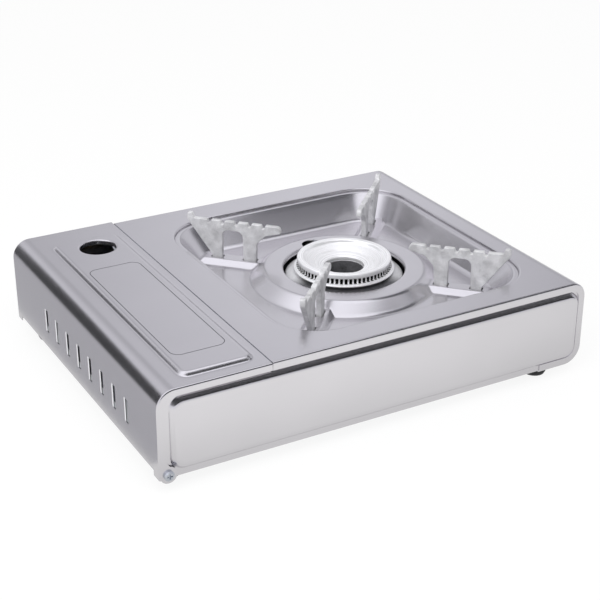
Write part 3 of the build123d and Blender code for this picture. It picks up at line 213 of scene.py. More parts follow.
class Skin:
    """Patches of faces that are welded into one skin where their edges meet."""

    def __init__(self):
        self.points = []
        self.faces = []
        self.count = 0

    def add(self, points):
        points = np.asarray(points, float).reshape(-1, 3)
        self.points.append(points)
        self.count += len(points)
        return self.count - len(points)

    def grid(self, rows, keep=None, closed=False):
        """Quads between neighbouring points of a grid. keep leaves cells out, closed joins its last column
        to the first."""
        m, n = np.shape(rows)[:2]
        index = np.arange(m * n).reshape(m, n) + self.add(rows)
        if closed:
            index = np.concatenate([index, index[:, :1]], axis=1)
        quads = np.stack([index[:-1, :-1], index[:-1, 1:], index[1:, 1:], index[1:, :-1]], axis=-1)
        quads = quads[keep] if keep is not None else quads.reshape(-1, 4)
        self.faces += quads.tolist()

    def cap(self, loop):
        """One flat face on a loop."""
        start = self.add(loop)
        self.faces.append(list(range(start, start + len(loop))))

    def fill(self, outer, *holes):
        """Triangles on a flat region between an outer loop and its holes."""
        flat = bmesh.new()
        edges = []
        for loop in (outer, *holes):
            corners = [flat.verts.new(p) for p in np.asarray(loop).tolist()]
            edges += [flat.edges.new((a, b)) for a, b in zip(corners, corners[1:] + corners[:1])]
        bmesh.ops.triangle_fill(flat, use_beauty=True, edges=edges)
        flat.verts.index_update()
        start = self.add([v.co[:] for v in flat.verts])
        self.faces += [[v.index + start for v in f.verts] for f in flat.faces]
        flat.free()

    def mesh(self, name, towards):
        """The welded mesh, its faces turned so that the one nearest to towards[0] looks along towards[1]."""
        mesh = bpy.data.meshes.new(name)
        mesh.from_pydata(to_frame(np.concatenate(self.points)).tolist(), [], self.faces)
        work = bmesh.new()
        work.from_mesh(mesh)
        bmesh.ops.remove_doubles(work, verts=work.verts, dist=touch * MM)
        bmesh.ops.dissolve_degenerate(work, edges=work.edges, dist=0.2 * touch * MM)
        bmesh.ops.recalc_face_normals(work, faces=work.faces)
        work.faces.ensure_lookup_table()
        centres = np.array([f.calc_center_median()[:] for f in work.faces])
        nearest = np.argmin(np.linalg.norm(centres - to_frame(towards[0]), axis=1))
        if np.dot(work.faces[int(nearest)].normal[:], towards[1]) < 0:
            bmesh.ops.reverse_faces(work, faces=work.faces)
        work.to_mesh(mesh)
        work.free()
        return mesh

    def piece(self, name, towards, thickness=None, angle=35):
        """A smooth object of the mesh, as thick as a sheet where a thickness is given."""
        mesh = self.mesh(name, towards)
        shade(mesh, angle)
        thing = put(name, mesh)
        return thicken(thing, thickness) if thickness else thing


def shade(mesh, angle=35):
    """Smooth but for edges sharper than an angle."""
    mesh.shade_smooth()
    mesh.set_sharp_from_angle(angle=math.radians(angle))


def settle(thing):
    """Makes an object's modifiers part of its mesh."""
    graph = bpy.context.evaluated_depsgraph_get()
    mesh = bpy.data.meshes.new_from_object(thing.evaluated_get(graph))
    thing.modifiers.clear()
    thing.data = mesh
    shade(mesh)
    return thing


def thicken(thing, thickness):
    """Gives a skin its sheet thickness, away from the side that it faces."""
    wall = thing.modifiers.new("sheet", "SOLIDIFY")
    wall.thickness = thickness * MM
    wall.offset = -1.0
    wall.use_even_offset = True
    wall.use_quality_normals = True
    return settle(thing)


def cut(thing, blocks):
    """Takes blocks, each a bottom and a top loop, out of an object."""
    skin = Skin()
    for low, high in blocks:
        skin.cap(low)
        skin.cap(high)
        skin.grid([low, high], closed=True)
    mesh = skin.mesh("cutter", (blocks[0][1].mean(axis=0), (0, 0, 1)))
    cutter = put("cutter", mesh)
    away = thing.modifiers.new("cut", "BOOLEAN")
    away.operation = "DIFFERENCE"
    away.solver = "EXACT"
    away.object = cutter
    settle(thing)
    bpy.data.objects.remove(cutter)
    bpy.data.meshes.remove(mesh)
    return thing


# ---- Shapes on a plane ----
def arc(centre, r, start, end, steps):
    """Points on a circle from one angle to another, both included."""
    a = np.linspace(start, end, steps + 1)
    return np.stack([centre[0] + r * np.cos(a), centre[1] + r * np.sin(a)], axis=-1)


def circle(centre, r, steps):
    """Points round a whole circle."""
    return arc(centre, r, 0, 2 * math.pi, steps)[:-1]


def axes(angle):
    """Unit vectors along an angle and to its left."""
    way = np.array((math.cos(angle), math.sin(angle)))
    return way, np.array((-way[1], way[0]))


def even(a, b, step):
    """Even places from a to b, about a step apart."""
    return np.linspace(a, b, max(2, round(abs(b - a) / step) + 1))


def grown(size, out):
    """A rounded rectangle's width, depth and corner radius, moved outwards on every side."""
    w, d, r = size
    return (w + 2 * out, d + 2 * out, r + out)


def round_loop(outer, centre, size):
    """For each outer point, the nearest point of a rounded rectangle: its corner's centre plus the radius."""
    w, d, r = size
    away = outer - centre
    core = np.clip(away, (r - w / 2, r - d / 2), (w / 2 - r, d / 2 - r))
    out = away - core
    return centre + core + out / np.linalg.norm(out, axis=1)[:, None] * r


def rounded_rectangle(xs, ys, radii, steps):
    """A rectangle with its own radius at each corner, from the lower left round to the upper left."""
    (x0, x1), (y0, y1) = xs, ys
    a, b, c, d = radii
    places = [(x0 + a, y0 + a), (x1 - b, y0 + b), (x1 - c, y1 - c), (x0 + d, y1 - d)]
    return np.concatenate([arc(place, r, math.pi * (1 + i / 2), math.pi * (1.5 + i / 2), steps)
                           for i, (place, r) in enumerate(zip(places, radii))])


def rectangle_loop(xs, ys):
    """The border points of a grid of xs and ys, in order round it."""
    bottom = np.stack([xs[:-1], np.full(len(xs) - 1, ys[0])], axis=-1)
    right = np.stack([np.full(len(ys) - 1, xs[-1]), ys[:-1]], axis=-1)
    top = np.stack([xs[:0:-1], np.full(len(xs) - 1, ys[-1])], axis=-1)
    left = np.stack([np.full(len(ys) - 1, xs[0]), ys[:0:-1]], axis=-1)
    return np.concatenate([bottom, right, top, left])


def at_height(loop, z):
    """A loop in XY at a height."""
    return np.insert(loop, 2, z, axis=1)


def at_y(loop, y):
    """A loop in XZ at a place along Y."""
    return np.insert(loop, 1, y, axis=1)


def fold(size, z, r, side, steps=4):
    """Loops (size, z) of a quarter round between a level face and an upright one. side is 'over' where
    the level face is outside and above, and 'under' where it is inside and below."""
    turn = np.linspace(0, math.pi / 2, steps + 1)
    flat, upright = r * (1 - np.sin(turn)), r * (1 - np.cos(turn))
    if side == "over":
        return [(grown(size, out), z - down) for out, down in zip(flat, upright)]
    return [(grown(size, -inwards), z + up) for inwards, up in zip(upright, flat)]


def smooth_max(a, b, r):
    """The larger of two heights, with the corner between them rounded over a band r."""
    h = np.maximum(r - np.abs(a - b), 0.0) / r
    return np.maximum(a, b) + h * h * r / 4


def rounded_ramp(t, k):
    """0 up to -k and t from k on, joined by a parabola."""
    return np.where(t < -k, 0.0, np.where(t > k, t, (t + k) ** 2 / (4 * k)))


# ---- Folded sheet along an outline ----
def outline(corners, radii, splits, steps=10):
    """An open outline in XZ with rounded corners. Returns points and outward normals; splits gives the
    extra places on each straight run, as distances from its start."""
    corners = np.asarray(corners, float)
    points, normals = [], []
    runs = corners[1:] - corners[:-1]
    lengths = np.linalg.norm(runs, axis=1)
    ways = runs / lengths[:, None]
    outs = np.stack([ways[:, 1], -ways[:, 0]], axis=-1)
    for i, way in enumerate(ways):
        start = radii[i - 1] if i else 0.0
        end = lengths[i] - (radii[i] if i < len(radii) else 0.0)
        places = np.concatenate([[start], np.asarray(splits[i], float), [end]])
        points.append(corners[i] + places[:, None] * way)
        normals.append(np.broadcast_to(outs[i], (len(places), 2)))
        if i < len(radii):
            r = radii[i]
            centre = corners[i] + way * (lengths[i] - r) - outs[i] * r
            t = np.linspace(0, 1, steps + 1)[1:-1, None] * math.pi / 2
            n = outs[i] * np.cos(t) + way * np.sin(t)
            points.append(centre + n * r)
            normals.append(n)
    return np.concatenate(points), np.concatenate(normals)


def folded_profile(y0, y1, middle_ys):
    """(share of rim depth, depth, y) down one end flange, over the fold, along and down the other one."""
    first = [(1.0, 0.0, y0), (flange_line, 0.0, y0)]
    first += [(0.0, bend_r * (1 - math.sin(t)), y0 + bend_r * (1 - math.cos(t)))
              for t in np.linspace(0, math.pi / 2, 5)]
    last = [(share, d, y1 - (y - y0)) for share, d, y in first[::-1]]
    middle = [(0.0, 0.0, y) for y in (y0 + bend_r + bend_hold, *middle_ys, y1 - bend_r - bend_hold)]
    return np.array(first + middle + last)


def carried(points, normals, profile, rim):
    """The profile carried along the outline: each point goes inwards by its depth, rim deep at share 1."""
    share, depth, y = profile.T
    inwards = np.maximum(depth[:, None], share[:, None] * np.asarray(rim)[None, :])
    x = points[None, :, 0] - inwards * normals[None, :, 0]
    z = points[None, :, 1] - inwards * normals[None, :, 1]
    return np.stack([x, np.broadcast_to(y[:, None], x.shape), z], axis=-1)


def cell_middles(rows):
    """X, Y and Z of the middle of each cell of a grid."""
    return np.moveaxis((rows[:-1, :-1] + rows[1:, 1:]) / 2, -1, 0)


def on_block(x, y, z, xs, ys):
    """Which cells lie on the top within the lines xs and ys."""
    return (x > xs.min()) & (x < xs.max()) & (y > ys.min()) & (y < ys.max()) & (z > top_z - touch)


def main_shell_piece():
    """Top plate, left side and bottom return: the folded profile carried round two corners, with the
    recess's step let into the top plate."""
    block_x = even(*shell_block_x, block_step)
    block_y = even(*shell_block_y, block_step)
    corners = [(seam_x, top_z), (-half_width, top_z), (-half_width, shell_bottom_z),
               (return_end_x, shell_bottom_z)]
    tops = [edge_hold, *(seam_x - block_x), seam_x + half_width - top_corner_r - bend_hold]
    sides = [top_corner_r + bend_hold, side_line, top_z - shell_bottom_z - bottom_corner_r - bend_hold]
    returns = [bottom_corner_r + bend_hold, return_line]
    points, normals = outline(corners, [top_corner_r, bottom_corner_r], [tops, sides, returns])
    profile = folded_profile(-half_depth, half_depth, block_y)
    rows = carried(points, normals, profile, np.full(len(points), rim_width))
    skin = Skin()
    skin.grid(rows, keep=~on_block(*cell_middles(rows), block_x, block_y))
    loops = [(grown(recess_size, recess_flat), top_z), *fold(recess_size, top_z, recess_fold_r, "over"),
             *fold(recess_size, ledge_z, ledge_fold_r, "under", 2),
             (grown(recess_size, -ledge_line), ledge_z), (grown(recess_size, -ledge_width), ledge_z)]
    around = rectangle_loop(block_x[::-1], block_y)
    stack = [at_height(around, top_z)] + [at_height(round_loop(around, recess, size), z) for size, z in loops]
    skin.grid(stack, closed=True)
    return skin.piece("main_shell_sheet", ((-160.0, 0.0, top_z), (0, 0, 1)), sheet)


def from_slot(y):
    """Distance along Y from the middle of the nearest slot."""
    return np.min(np.abs(np.asarray(y)[..., None] - slot_ys), axis=-1)


def add_blades(skin):
    """The blades in the cover's slots: the rear edge of each is bent inwards, deepest at its free end."""
    across = slot_half * np.array([-1.0, -0.87, -0.7])
    inwards = blade_depth * np.array([0.0, 0.6, 1.0])
    z = np.array([slot_z[0], slot_z[0] + slot_end, slot_z[1] - slot_end, slot_z[1]])
    for y in slot_ys:
        skin.grid(np.stack(np.broadcast_arrays((half_width - inwards)[:, None], (y + across)[:, None], z),
                           axis=-1))


def add_ears(skin, points):
    """The ears that hang from the cover's ends: the flange's upper edge, the neck and a round end about
    the hinge's axis."""
    on_side = (points[:, 0] > half_width - 0.1 * touch) & (points[:, 1] <= ear_top_z + 0.1 * touch)
    z = np.sort(points[on_side, 1])[::-1]
    fold_edge = np.stack([np.full(len(z), half_width - bend_r), z], axis=-1)
    start, end = np.radians(ear_arc)
    disc = arc((hinge_x, hinge_z), ear_r, start, end, 24)[1:]
    neck = [*ear_neck, (half_width - lid_side_rim, ear_top_z),
            (half_width - flange_line * lid_side_rim, ear_top_z)]
    for y in lid_y:
        skin.cap(at_y(np.concatenate([fold_edge, disc, neck]), y))


def add_plateau(skin, around):
    """The raised plateau on the cover, from the loop around it to its flat top, with the finger hole."""
    centre = (sum(plateau_x) / 2, sum(plateau_y) / 2)
    size = (plateau_x[1] - plateau_x[0], plateau_y[1] - plateau_y[0], plateau_corner_r)
    rise = plateau_rise
    steps = [(1.6, 0.0), (0.9, 0.04), (0.35, 0.17), (-0.1, 0.42), (-0.6, 0.95), (-1.6, rise - 0.72),
             (-2.1, rise - 0.36), (-2.7, rise - 0.11), (-3.4, rise), (-4.2, rise)]
    stack = [at_height(around, top_z)]
    stack += [at_height(round_loop(around, centre, grown(size, out)), top_z + up) for out, up in steps]
    skin.grid(stack, closed=True)
    lip = [(1.9, 0.0), (1.1, 0.0), (0.65, 0.1), (0.25, 0.38), (0.05, 0.8), (0.0, 1.3), (0.0, finger_hole_lip)]
    circles = [at_height(circle(finger_hole, finger_hole_r + out, 64), top_z + rise - down)
               for out, down in lip]
    skin.grid(circles, closed=True)
    skin.fill(stack[-1], circles[0])


def lid_piece():
    """The cover: the folded profile carried over one corner, with ears and slots at the side and the plateau
    on top."""
    block_x = even(*lid_block_x, lid_block_step)
    block_y = even(*lid_block_y, block_step)
    heights = np.array([lid_side_bottom_z, ear_top_z, slot_z[0], slot_z[0] + slot_end, slot_z[1] - slot_end,
                        slot_z[1], top_z - lid_corner_r - bend_hold])
    tops = [lid_corner_r + bend_hold, *(half_width - block_x[::-1]), half_width - lid_x0 - edge_hold]
    points, normals = outline([(half_width, ear_low_z), (half_width, top_z), (lid_x0, top_z)],
                              [lid_corner_r], [heights - ear_low_z, tops], 14)
    ears = (lid_y[0] + lid_ear_length, lid_y[1] - lid_ear_length)
    slot_lines = (slot_ys[:, None] + slot_half * np.array([-1.0, -0.5, 0.0, 1.0])).ravel()
    ys = np.unique(np.round(np.concatenate([block_y, ears, slot_lines]), 6))
    rim = np.interp(normals[:, 1], [0.0, 1.0], [lid_side_rim, lid_top_rim])
    rows = carried(points, normals, folded_profile(*lid_y, ys), rim)
    x, y, z = cell_middles(rows)
    between_ears = (y > ears[0]) & (y < ears[1]) & (z < lid_side_bottom_z)
    ear_faces = ((y < lid_y[0] + touch) | (y > lid_y[1] - touch)) & (z < ear_top_z)
    slots = (from_slot(y) < slot_half) & (z > slot_z[0]) & (z < slot_z[1]) & (x > half_width - touch)
    skin = Skin()
    skin.grid(rows, keep=~(on_block(x, y, z, block_x, block_y) | between_ears | ear_faces | slots))
    add_blades(skin)
    add_ears(skin, points)
    add_plateau(skin, rectangle_loop(block_x, ys[(ys > block_y[0] - touch) & (ys < block_y[-1] + touch)]))
    return skin.piece("cartridge_lid_sheet", ((92.5, 0.0, top_z), (0, 0, 1)), nested_sheet)


def label_piece():
    """The etched frame of the bare label place: a line round a rectangle with soft corners."""
    (x0, x1), (y0, y1) = label_x, label_y
    loops = [rounded_rectangle((x0 + inset, x1 - inset), (y0 + inset, y1 - inset),
                               [label_corner_r - inset] * 4, 10) for inset in (0.0, label_line)]
    skin = Skin()
    skin.grid([at_height(loop, top_z + plateau_rise + label_lift) for loop in loops], closed=True)
    return skin.piece("label_frame", ((label_x[0], 0.0, top_z + plateau_rise), (0, 0, 1)))


def panel_piece(name, side):
    """An end panel: a flat border, a soft fold, the field's slope and its crowned edge, as nested loops.
    side is 1 at the rear and -1 at the front, which has the knob's hole and the lever's slot."""
    rise = field_rise
    steps = [(1.2, 0.0), (0.45, 0.05), (0.1, 0.25), (-0.3, 0.75), (-1.9, rise - 1.25), (-2.35, rise - 0.78),
             (-2.85, rise - 0.42), (-3.45, rise - 0.17), (-4.2, rise - 0.04), (-5.1, rise), (-6.2, rise)]
    stack = [at_y(rounded_rectangle(panel_x, panel_z, panel_corner_rs, 8), side * panel_y)]
    for out, up in steps:
        loop = rounded_rectangle((field_x[0] - out, field_x[1] + out), (field_z[0] - out, field_z[1] + out),
                                 [field_corner_r + out] * 4, 8)
        stack.append(at_y(loop, side * (panel_y + up)))
    skin = Skin()
    skin.grid(stack, closed=True)
    face_y = side * (panel_y + rise)
    if side > 0:
        skin.cap(stack[-1])
    else:
        holes = [circle(knob_hole, knob_hole_r, 32),
                 rounded_rectangle(lever_slot_x, lever_slot_z, [lever_slot_r] * 4, 4)]
        skin.fill(stack[-1], *[at_y(hole, face_y) for hole in holes])
    return skin.piece(name, ((0.0, face_y, 42.0), (0, side, 0)), nested_sheet)


# ---- Drip tray ----
# Offsets across a rib of the mesh's lines, closest at the rib's edge and at its foot
rib_lines = (0, 1.2, 2.25, 3.2, 4.0, 4.5, 4.85, 5.15, 5.45, 5.8, 6.4, 7.2, 8.0, 8.6, 9.0, 9.35, 9.7, 10.1,
             10.8, 12.0)
ray_reach = 200.0              # how far out the mesh's lines are drawn before they are cut to the tray
rays_between = 44
# Radii of the loops over the ring's slope, closest where it bends
ring_loops = (49.4, 53.0, 57.0, 59.3, 60.0, 60.7, 61.1, 61.5, 61.9, 62.4, 63.0, 63.6, 64.6, 65.8, 66.6, 67.4,
              68.2, 69.0, 69.8, 70.5, 71.1, 71.7, 72.4, 73.2, 74.4)
floor_margin = 3.4             # from the floor's edge to the last loop on the level floor
floor_loops = (0.12, 0.3, 0.5, 0.7, 0.88, 1.0)     # shares of the way from the ring to that loop
wall_foot = ((-2.4, 0.0), (-1.7, 0.08), (-1.0, 0.30), (-0.35, 0.72))       # (outwards, up) from the floor
wall_loops = (0.075, 0.12, 0.17, 0.22, 0.27, 0.33, 0.45, 0.6, 0.8, 0.9)    # shares of the wall's height
wall_rim = ((-0.55, 0.86), (-0.15, 0.42), (0.35, 0.12), (0.9, 0.0), (1.5, 0.0))    # (outwards, down)
far_below = -100.0


def crossing(starts, ends, distance):
    """Points on lines from starts to ends where distance(points) turns from negative to positive."""
    low, high = np.zeros(len(starts)), np.ones(len(starts))
    for _ in range(36):
        middle = (low + high) / 2
        inside = distance(starts + middle[:, None] * (ends - starts)) < 0
        low, high = np.where(inside, middle, low), np.where(inside, high, middle)
    return starts + ((low + high) / 2)[:, None] * (ends - starts)


def circle_distance(r):
    """Distance outside a circle about the burner."""
    return lambda p: np.linalg.norm(p - burner, axis=1) - r


def rectangle_distance(size, grow=0.0):
    """Distance outside a rounded rectangle about the recess's middle."""
    w, d, r = grown(size, grow)
    half = np.array((w / 2 - r, d / 2 - r))
    return lambda p: (np.linalg.norm(np.maximum(np.abs(p - recess) - half, 0.0), axis=1)
                      + np.minimum(np.max(np.abs(p - recess) - half, axis=1), 0.0) - r)


def rib_height(p):
    """Height of the ribs' surface: level for the half width and as far as rib_end, then falling one to one,
    its edge rounded."""
    height = np.full(len(p), far_below)
    for angle in support_angles:
        way, side = axes(angle)
        along = (p - burner) @ way
        beyond = np.maximum(np.abs((p - burner) @ side) - rib_half_width, along - rib_end)
        rib = np.where(along > 0, rib_top_z - rounded_ramp(beyond, rib_round), far_below)
        height = np.maximum(height, rib)
    return height


def ring_height(p):
    """Height of the raised ring and its slope: the flat, a straight fall from ring_flat_r to ring_foot_r and
    the floor, with both bends rounded."""
    slope = (ring_z - tray_floor_z) / (ring_foot_r - ring_flat_r)
    beyond = np.linalg.norm(p - burner, axis=1) - ring_flat_r
    return smooth_max(ring_z - rounded_ramp(beyond, ring_round) * slope, tray_floor_z, ring_round)


def tray_rays():
    """Starts on the ring's opening and ends far out: lines along each rib, and lines fanned out between."""
    lateral = np.array(rib_lines)
    lateral = np.concatenate([-lateral[:0:-1], lateral])[:, None]
    widest = rib_lines[-1]
    starts, ends = [], []
    order = sorted(support_angles)
    for angle, following in zip(order, order[1:] + [order[0] + 2 * math.pi]):
        way, side = axes(angle)
        starts.append(burner + lateral * side + np.sqrt(ring_opening_r ** 2 - lateral ** 2) * way)
        ends.append(burner + lateral * side + ray_reach * way)
        share = np.linspace(0, 1, rays_between + 1)[1:-1]
        for r, margin, points in ((ring_opening_r, math.asin(widest / ring_opening_r), starts),
                                  (math.hypot(ray_reach, widest), math.atan2(widest, ray_reach), ends)):
            a = angle + margin + share * (following - angle - 2 * margin)
            points.append(burner + r * np.stack([np.cos(a), np.sin(a)], axis=-1))
    return np.concatenate(starts), np.concatenate(ends)


def tray_piece():
    """The drip tray: rays from the ring's lip to the rim, bunched along the ribs, crossed by loops that are
    circles near the ring and rounded rectangles near the wall. The ribs rise out by a rounded maximum."""
    starts, ends = tray_rays()
    lip = [(starts, ring_z - ring_lip), (starts, ring_z - ring_fold_r - 0.05)]
    loops = [(circle_distance(ring_opening_r + ring_fold_r * (1 - math.cos(a))),
              ring_z - ring_fold_r * (1 - math.sin(a))) for a in np.radians([22, 45, 67, 90])]
    loops += [(circle_distance(r), ring_height) for r in ring_loops]
    last_circle = circle_distance(ring_loops[-1])
    floor_edge = rectangle_distance(tray_floor_size, -floor_margin)
    loops += [(lambda p, f=f: (1 - f) * last_circle(p) + f * floor_edge(p), tray_floor_z)
              for f in floor_loops]
    loops += [(rectangle_distance(tray_floor_size, out), tray_floor_z + up) for out, up in wall_foot]
    for f in wall_loops:
        size = tuple(a + (b - a) * f for a, b in zip(tray_floor_size, tray_rim_size))
        loops.append((rectangle_distance(size), tray_floor_z + (tray_top_z - tray_floor_z) * f))
    loops += [(rectangle_distance(tray_rim_size, out), tray_top_z - down) for out, down in wall_rim]
    loops.append((rectangle_distance(tray_flange_size), tray_top_z))
    rows = [at_height(points, z) for points, z in lip]
    for distance, height in loops:
        p = crossing(starts, ends, distance)
        base = height(p) if callable(height) else np.full(len(p), height)
        far = np.linalg.norm(p - burner, axis=1) > rib_start
        rows.append(at_height(p, np.where(far, smooth_max(base, rib_height(p), rib_blend), base)))
    skin = Skin()
    skin.grid(rows, closed=True)
    tray = skin.piece("drip_tray_sheet", ((burner[0], burner[1] + 55.0, ring_z), (0, 0, 1)), sheet)
    blocks = []
    for angle in support_angles:
        way, side = axes(angle)
        for s0, s1 in leg_spans:
            s0, s1, t = s0 - leg_slot_clearance, s1 + leg_slot_clearance, support_half + leg_slot_clearance
            slot = np.array([burner + s * way + e * side for s, e in ((s0, -t), (s1, -t), (s1, t), (s0, t))])
            blocks.append((at_height(slot, rib_top_z - 4.0), at_height(slot, rib_top_z + 4.0)))
    notch = circle(burner - (0.0, notch_reach), notch_r, 32)
    blocks.append((at_height(notch, ring_z - ring_lip - 2.0), at_height(notch, ring_z + 2.0)))
    return cut(tray, blocks)


# ---- Pan supports and burner ----
def rounded_corners(points, radii, steps=4):
    """A closed outline with each corner replaced by an arc that touches both its edges."""
    p = np.asarray(points, float)
    back = p - np.roll(p, 1, axis=0)
    ahead = np.roll(p, -1, axis=0) - p
    t = np.linspace(0, 1, steps + 1)[:, None]
    parts = []
    for corner, u, v, r in zip(p, back, ahead, radii):
        u, v = u / np.linalg.norm(u), v / np.linalg.norm(v)
        turn = math.acos(np.clip(np.dot(u, v), -1, 1))
        reach = r * math.tan(turn / 2)
        a, b = corner - u * reach, corner + v * reach
        bow = math.cos(turn / 2)
        curve = (1 - t) ** 2 * a + 2 * t * (1 - t) * bow * corner + t ** 2 * b
        parts.append(curve / ((1 - t) ** 2 + 2 * t * (1 - t) * bow + t ** 2))
    return np.concatenate(parts)


def inset_outline(loop, distance):
    """A closed outline moved inwards by a distance along the mitre of each corner."""
    back = loop - np.roll(loop, 1, axis=0)
    ahead = np.roll(loop, -1, axis=0) - loop
    back /= np.linalg.norm(back, axis=1)[:, None]
    ahead /= np.linalg.norm(ahead, axis=1)[:, None]
    n0 = np.stack([-back[:, 1], back[:, 0]], axis=-1)
    n1 = np.stack([-ahead[:, 1], ahead[:, 0]], axis=-1)
    mitre = n0 + n1
    mitre /= np.maximum(np.sum(mitre * n0, axis=1), 0.35)[:, None]
    return loop + mitre * distance


def support_outline():
    """The supports' outline as (distance from the burner, height, corner radius), counter-clockwise: the two
    legs with the arch between them, the horn, the teeth from the outermost inwards, and the tip."""
    (inner0, inner1), (outer0, outer1) = leg_spans
    corners = [(inner0, support_foot_z, leg_corner_r), (inner1, support_foot_z, leg_corner_r),
               (inner1 + arch_lean, arch_top_z, arch_r), (outer0 - arch_lean, arch_top_z, arch_r),
               (outer0, support_foot_z, leg_corner_r), (outer1, support_foot_z, leg_corner_r),
               (outer1, 59.0, 2.0), (horn_outer_s, 86.6, 4.0), (horn_outer_s, horn_z, 1.6),
               (122.3, horn_z, 1.2), (120.9, support_top_z, 1.2)]
    for s in tooth_first_s + tooth_pitch * np.arange(tooth_count)[::-1]:
        corners += [(s + 1.75, support_top_z, 0.8), (s + 0.95, support_top_z - tooth_depth, 0.75),
                    (s - 0.95, support_top_z - tooth_depth, 0.75), (s - 1.75, support_top_z, 0.8)]
    corners += [(tip_s, support_top_z, 3.4), (tip_s, 82.5, 0.8), (62.6, 79.4, 6.0), (69.6, 72.0, 5.0)]
    return rounded_corners([corner[:2] for corner in corners], [corner[2] for corner in corners])


def support_piece(number):
    """A plate of the outline with a rounded edge: loops that step inwards while they step outwards in
    thickness, on a quarter circle."""
    loop = support_outline()
    levels = [(support_edge_r * (1 - math.cos(a)), support_half - support_edge_r * (1 - math.sin(a)))
              for a in np.linspace(0, math.pi / 2, 4)]
    levels.append((1.2 * support_edge_r, support_half))
    way, side = axes(support_angles[number - 1])
    rows = []
    for inset, t in [(inset, -t) for inset, t in levels[::-1]] + levels:
        edge = inset_outline(loop, inset)
        rows.append(at_height(burner + edge[:, :1] * way + t * side, edge[:, 1]))
    skin = Skin()
    skin.grid(rows, closed=True)
    skin.fill(rows[0])
    skin.fill(rows[-1])
    middle = burner + 90.0 * way + support_half * side
    return skin.piece(f"support_plate_{number}", ((*middle, 84.0), (*side, 0)), angle=50)


def turned(profile, angles):
    """Rows of a shape turned about the burner's axis; profile gives (radius, height), and radius may be an
    array with one value for each angle."""
    x, y = np.cos(angles), np.sin(angles)
    return [at_height(np.stack([burner[0] + r * x, burner[1] + r * y], axis=-1), z) for r, z in profile]


def head_piece():
    """The machined ring: a dished top with a small step, a groove whose wall is broken by the ports, and a
    rounded bead under it."""
    period = 2 * math.pi / port_count
    half = port_half_width / port_wall_r
    marks = np.array([-1.06 * half, -0.94 * half, 0.0, 0.94 * half, 1.06 * half, period / 2 - 0.5 * half,
                      period / 2, period / 2 + 0.5 * half])
    angles = (np.arange(port_count)[:, None] * period + marks).ravel()
    in_port = np.tile(np.abs(marks) < half, port_count)
    wall, edge = (np.where(in_port, port_depth_r, port_wall_r + out) for out in (-0.05, 0.05))
    z0, z1 = port_z
    hole, foot, top = head_hole_r, head_foot_z, head_top_z
    around_hole = [(18.2, foot), (hole + 0.2, foot), (hole, foot + 0.3), (hole, 62.7), (hole + 0.1, 63.0),
                   (hole + 0.5, 63.3), (16.6, 63.55)]
    dish = [(19.0, 64.45), (21.2, 65.25), (21.5, 65.28), (21.8, 65.5), (25.5, 66.85), (28.4, 67.9),
            (29.6, 68.35), (30.1, 68.65)]
    step = [(30.45, 69.0), (30.6, 69.9), (30.85, 70.4), (31.3, 70.72), (31.8, top)]
    land = [(33.0, top), (33.2, top - 0.06), (33.4, top - 0.06), (33.6, top), (34.6, top), (35.1, top - 0.08)]
    rim = [(head_r - 0.3, 70.5), (head_r - 0.07, 70.2), (head_r, 69.8), (head_r, 67.6), (head_r - 0.1, 67.3),
           (head_r - 0.4, z1)]
    ports = [(edge, z1), (wall, z1 - 0.2), (wall, z0 + 0.2), (edge, z0), (36.3, z0 - 0.15)]
    bead = [(bead_centre[0] + bead_r * math.sin(a), bead_centre[1] + bead_r * math.cos(a))
            for a in np.linspace(0.2, math.pi - 0.25, 10)]
    underside = [(36.0, foot + 0.2), (35.2, foot), (32.1, foot)]
    skin = Skin()
    skin.grid(turned(around_hole + dish + step + land + rim + ports + bead + underside, angles), closed=True)
    return skin.piece("burner_ring", ((burner[0], burner[1] + 33.0, top), (0, 0, 1)), angle=40)


def bowl_piece():
    """The cast bowl: throat, wall, and a flange that slopes up to the head, with a rounded rim."""
    low, high = bowl_flange_z
    throat, wall, rim, top = bowl_throat_r, bowl_r, bowl_flange_r, head_foot_z
    outside = [(throat, top), (throat, bowl_bottom_z), (20.0, bowl_bottom_z), (20.0, 32.0),
               (wall - 1.0, 32.0), (wall, 33.0), (wall, low)]
    flange = [(rim - 0.4, low), (rim, low + 0.3), (rim, high - 0.8), (rim - 0.4, high - 0.4),
              (rim - 1.3, high), (37.0, 59.15), (36.2, 59.45), (35.5, 59.8), (35.0, top)]
    inside = [(31.5, top), (31.5, 34.5), (17.5, 34.5), (17.5, top), (throat, top)]
    skin = Skin()
    skin.grid(turned(outside + flange + inside, np.linspace(0, 2 * math.pi, 129)[:-1]), closed=True)
    return skin.piece("burner_bowl", ((burner[0], burner[1] + rim, 55.7), (0, 1, 0)), angle=40)


# ---- Materials ----
def colour(code):
    """Linear colour of an sRGB hex code, with full alpha."""
    values = [int(code[i:i + 2], 16) / 255 for i in (1, 3, 5)]
    return (*[v / 12.92 if v <= 0.04045 else ((v + 0.055) / 1.055) ** 2.4 for v in values], 1.0)


def add(tree, kind, inputs=None, **settings):
    """Adds a node, sets its properties, and sets or links its inputs. A node given as an input stands for
    the first of its outputs that is in use."""
    node = tree.nodes.new("ShaderNode" + kind)
    for key, value in settings.items():
        setattr(node, key, value)
    for key, value in (inputs or {}).items():
        if isinstance(value, bpy.types.Node):
            value = next(output for output in value.outputs if output.enabled)
        if isinstance(value, bpy.types.NodeSocket):
            tree.links.new(value, node.inputs[key])
        else:
            node.inputs[key].default_value = value
    return node


def empty_material(name):
    """A material without nodes, and its node tree."""
    material = bpy.data.materials.new(name)
    material.use_nodes = True
    material.node_tree.nodes.clear()
    return material, material.node_tree


def start_material(name):
    """A material, its node tree and object coordinates in millimetres."""
    material, tree = empty_material(name)
    place = add(tree, "TexCoord")
    scale = add(tree, "Mapping", {"Vector": place.outputs["Object"], "Scale": (1 / MM,) * 3})
    return material, tree, scale


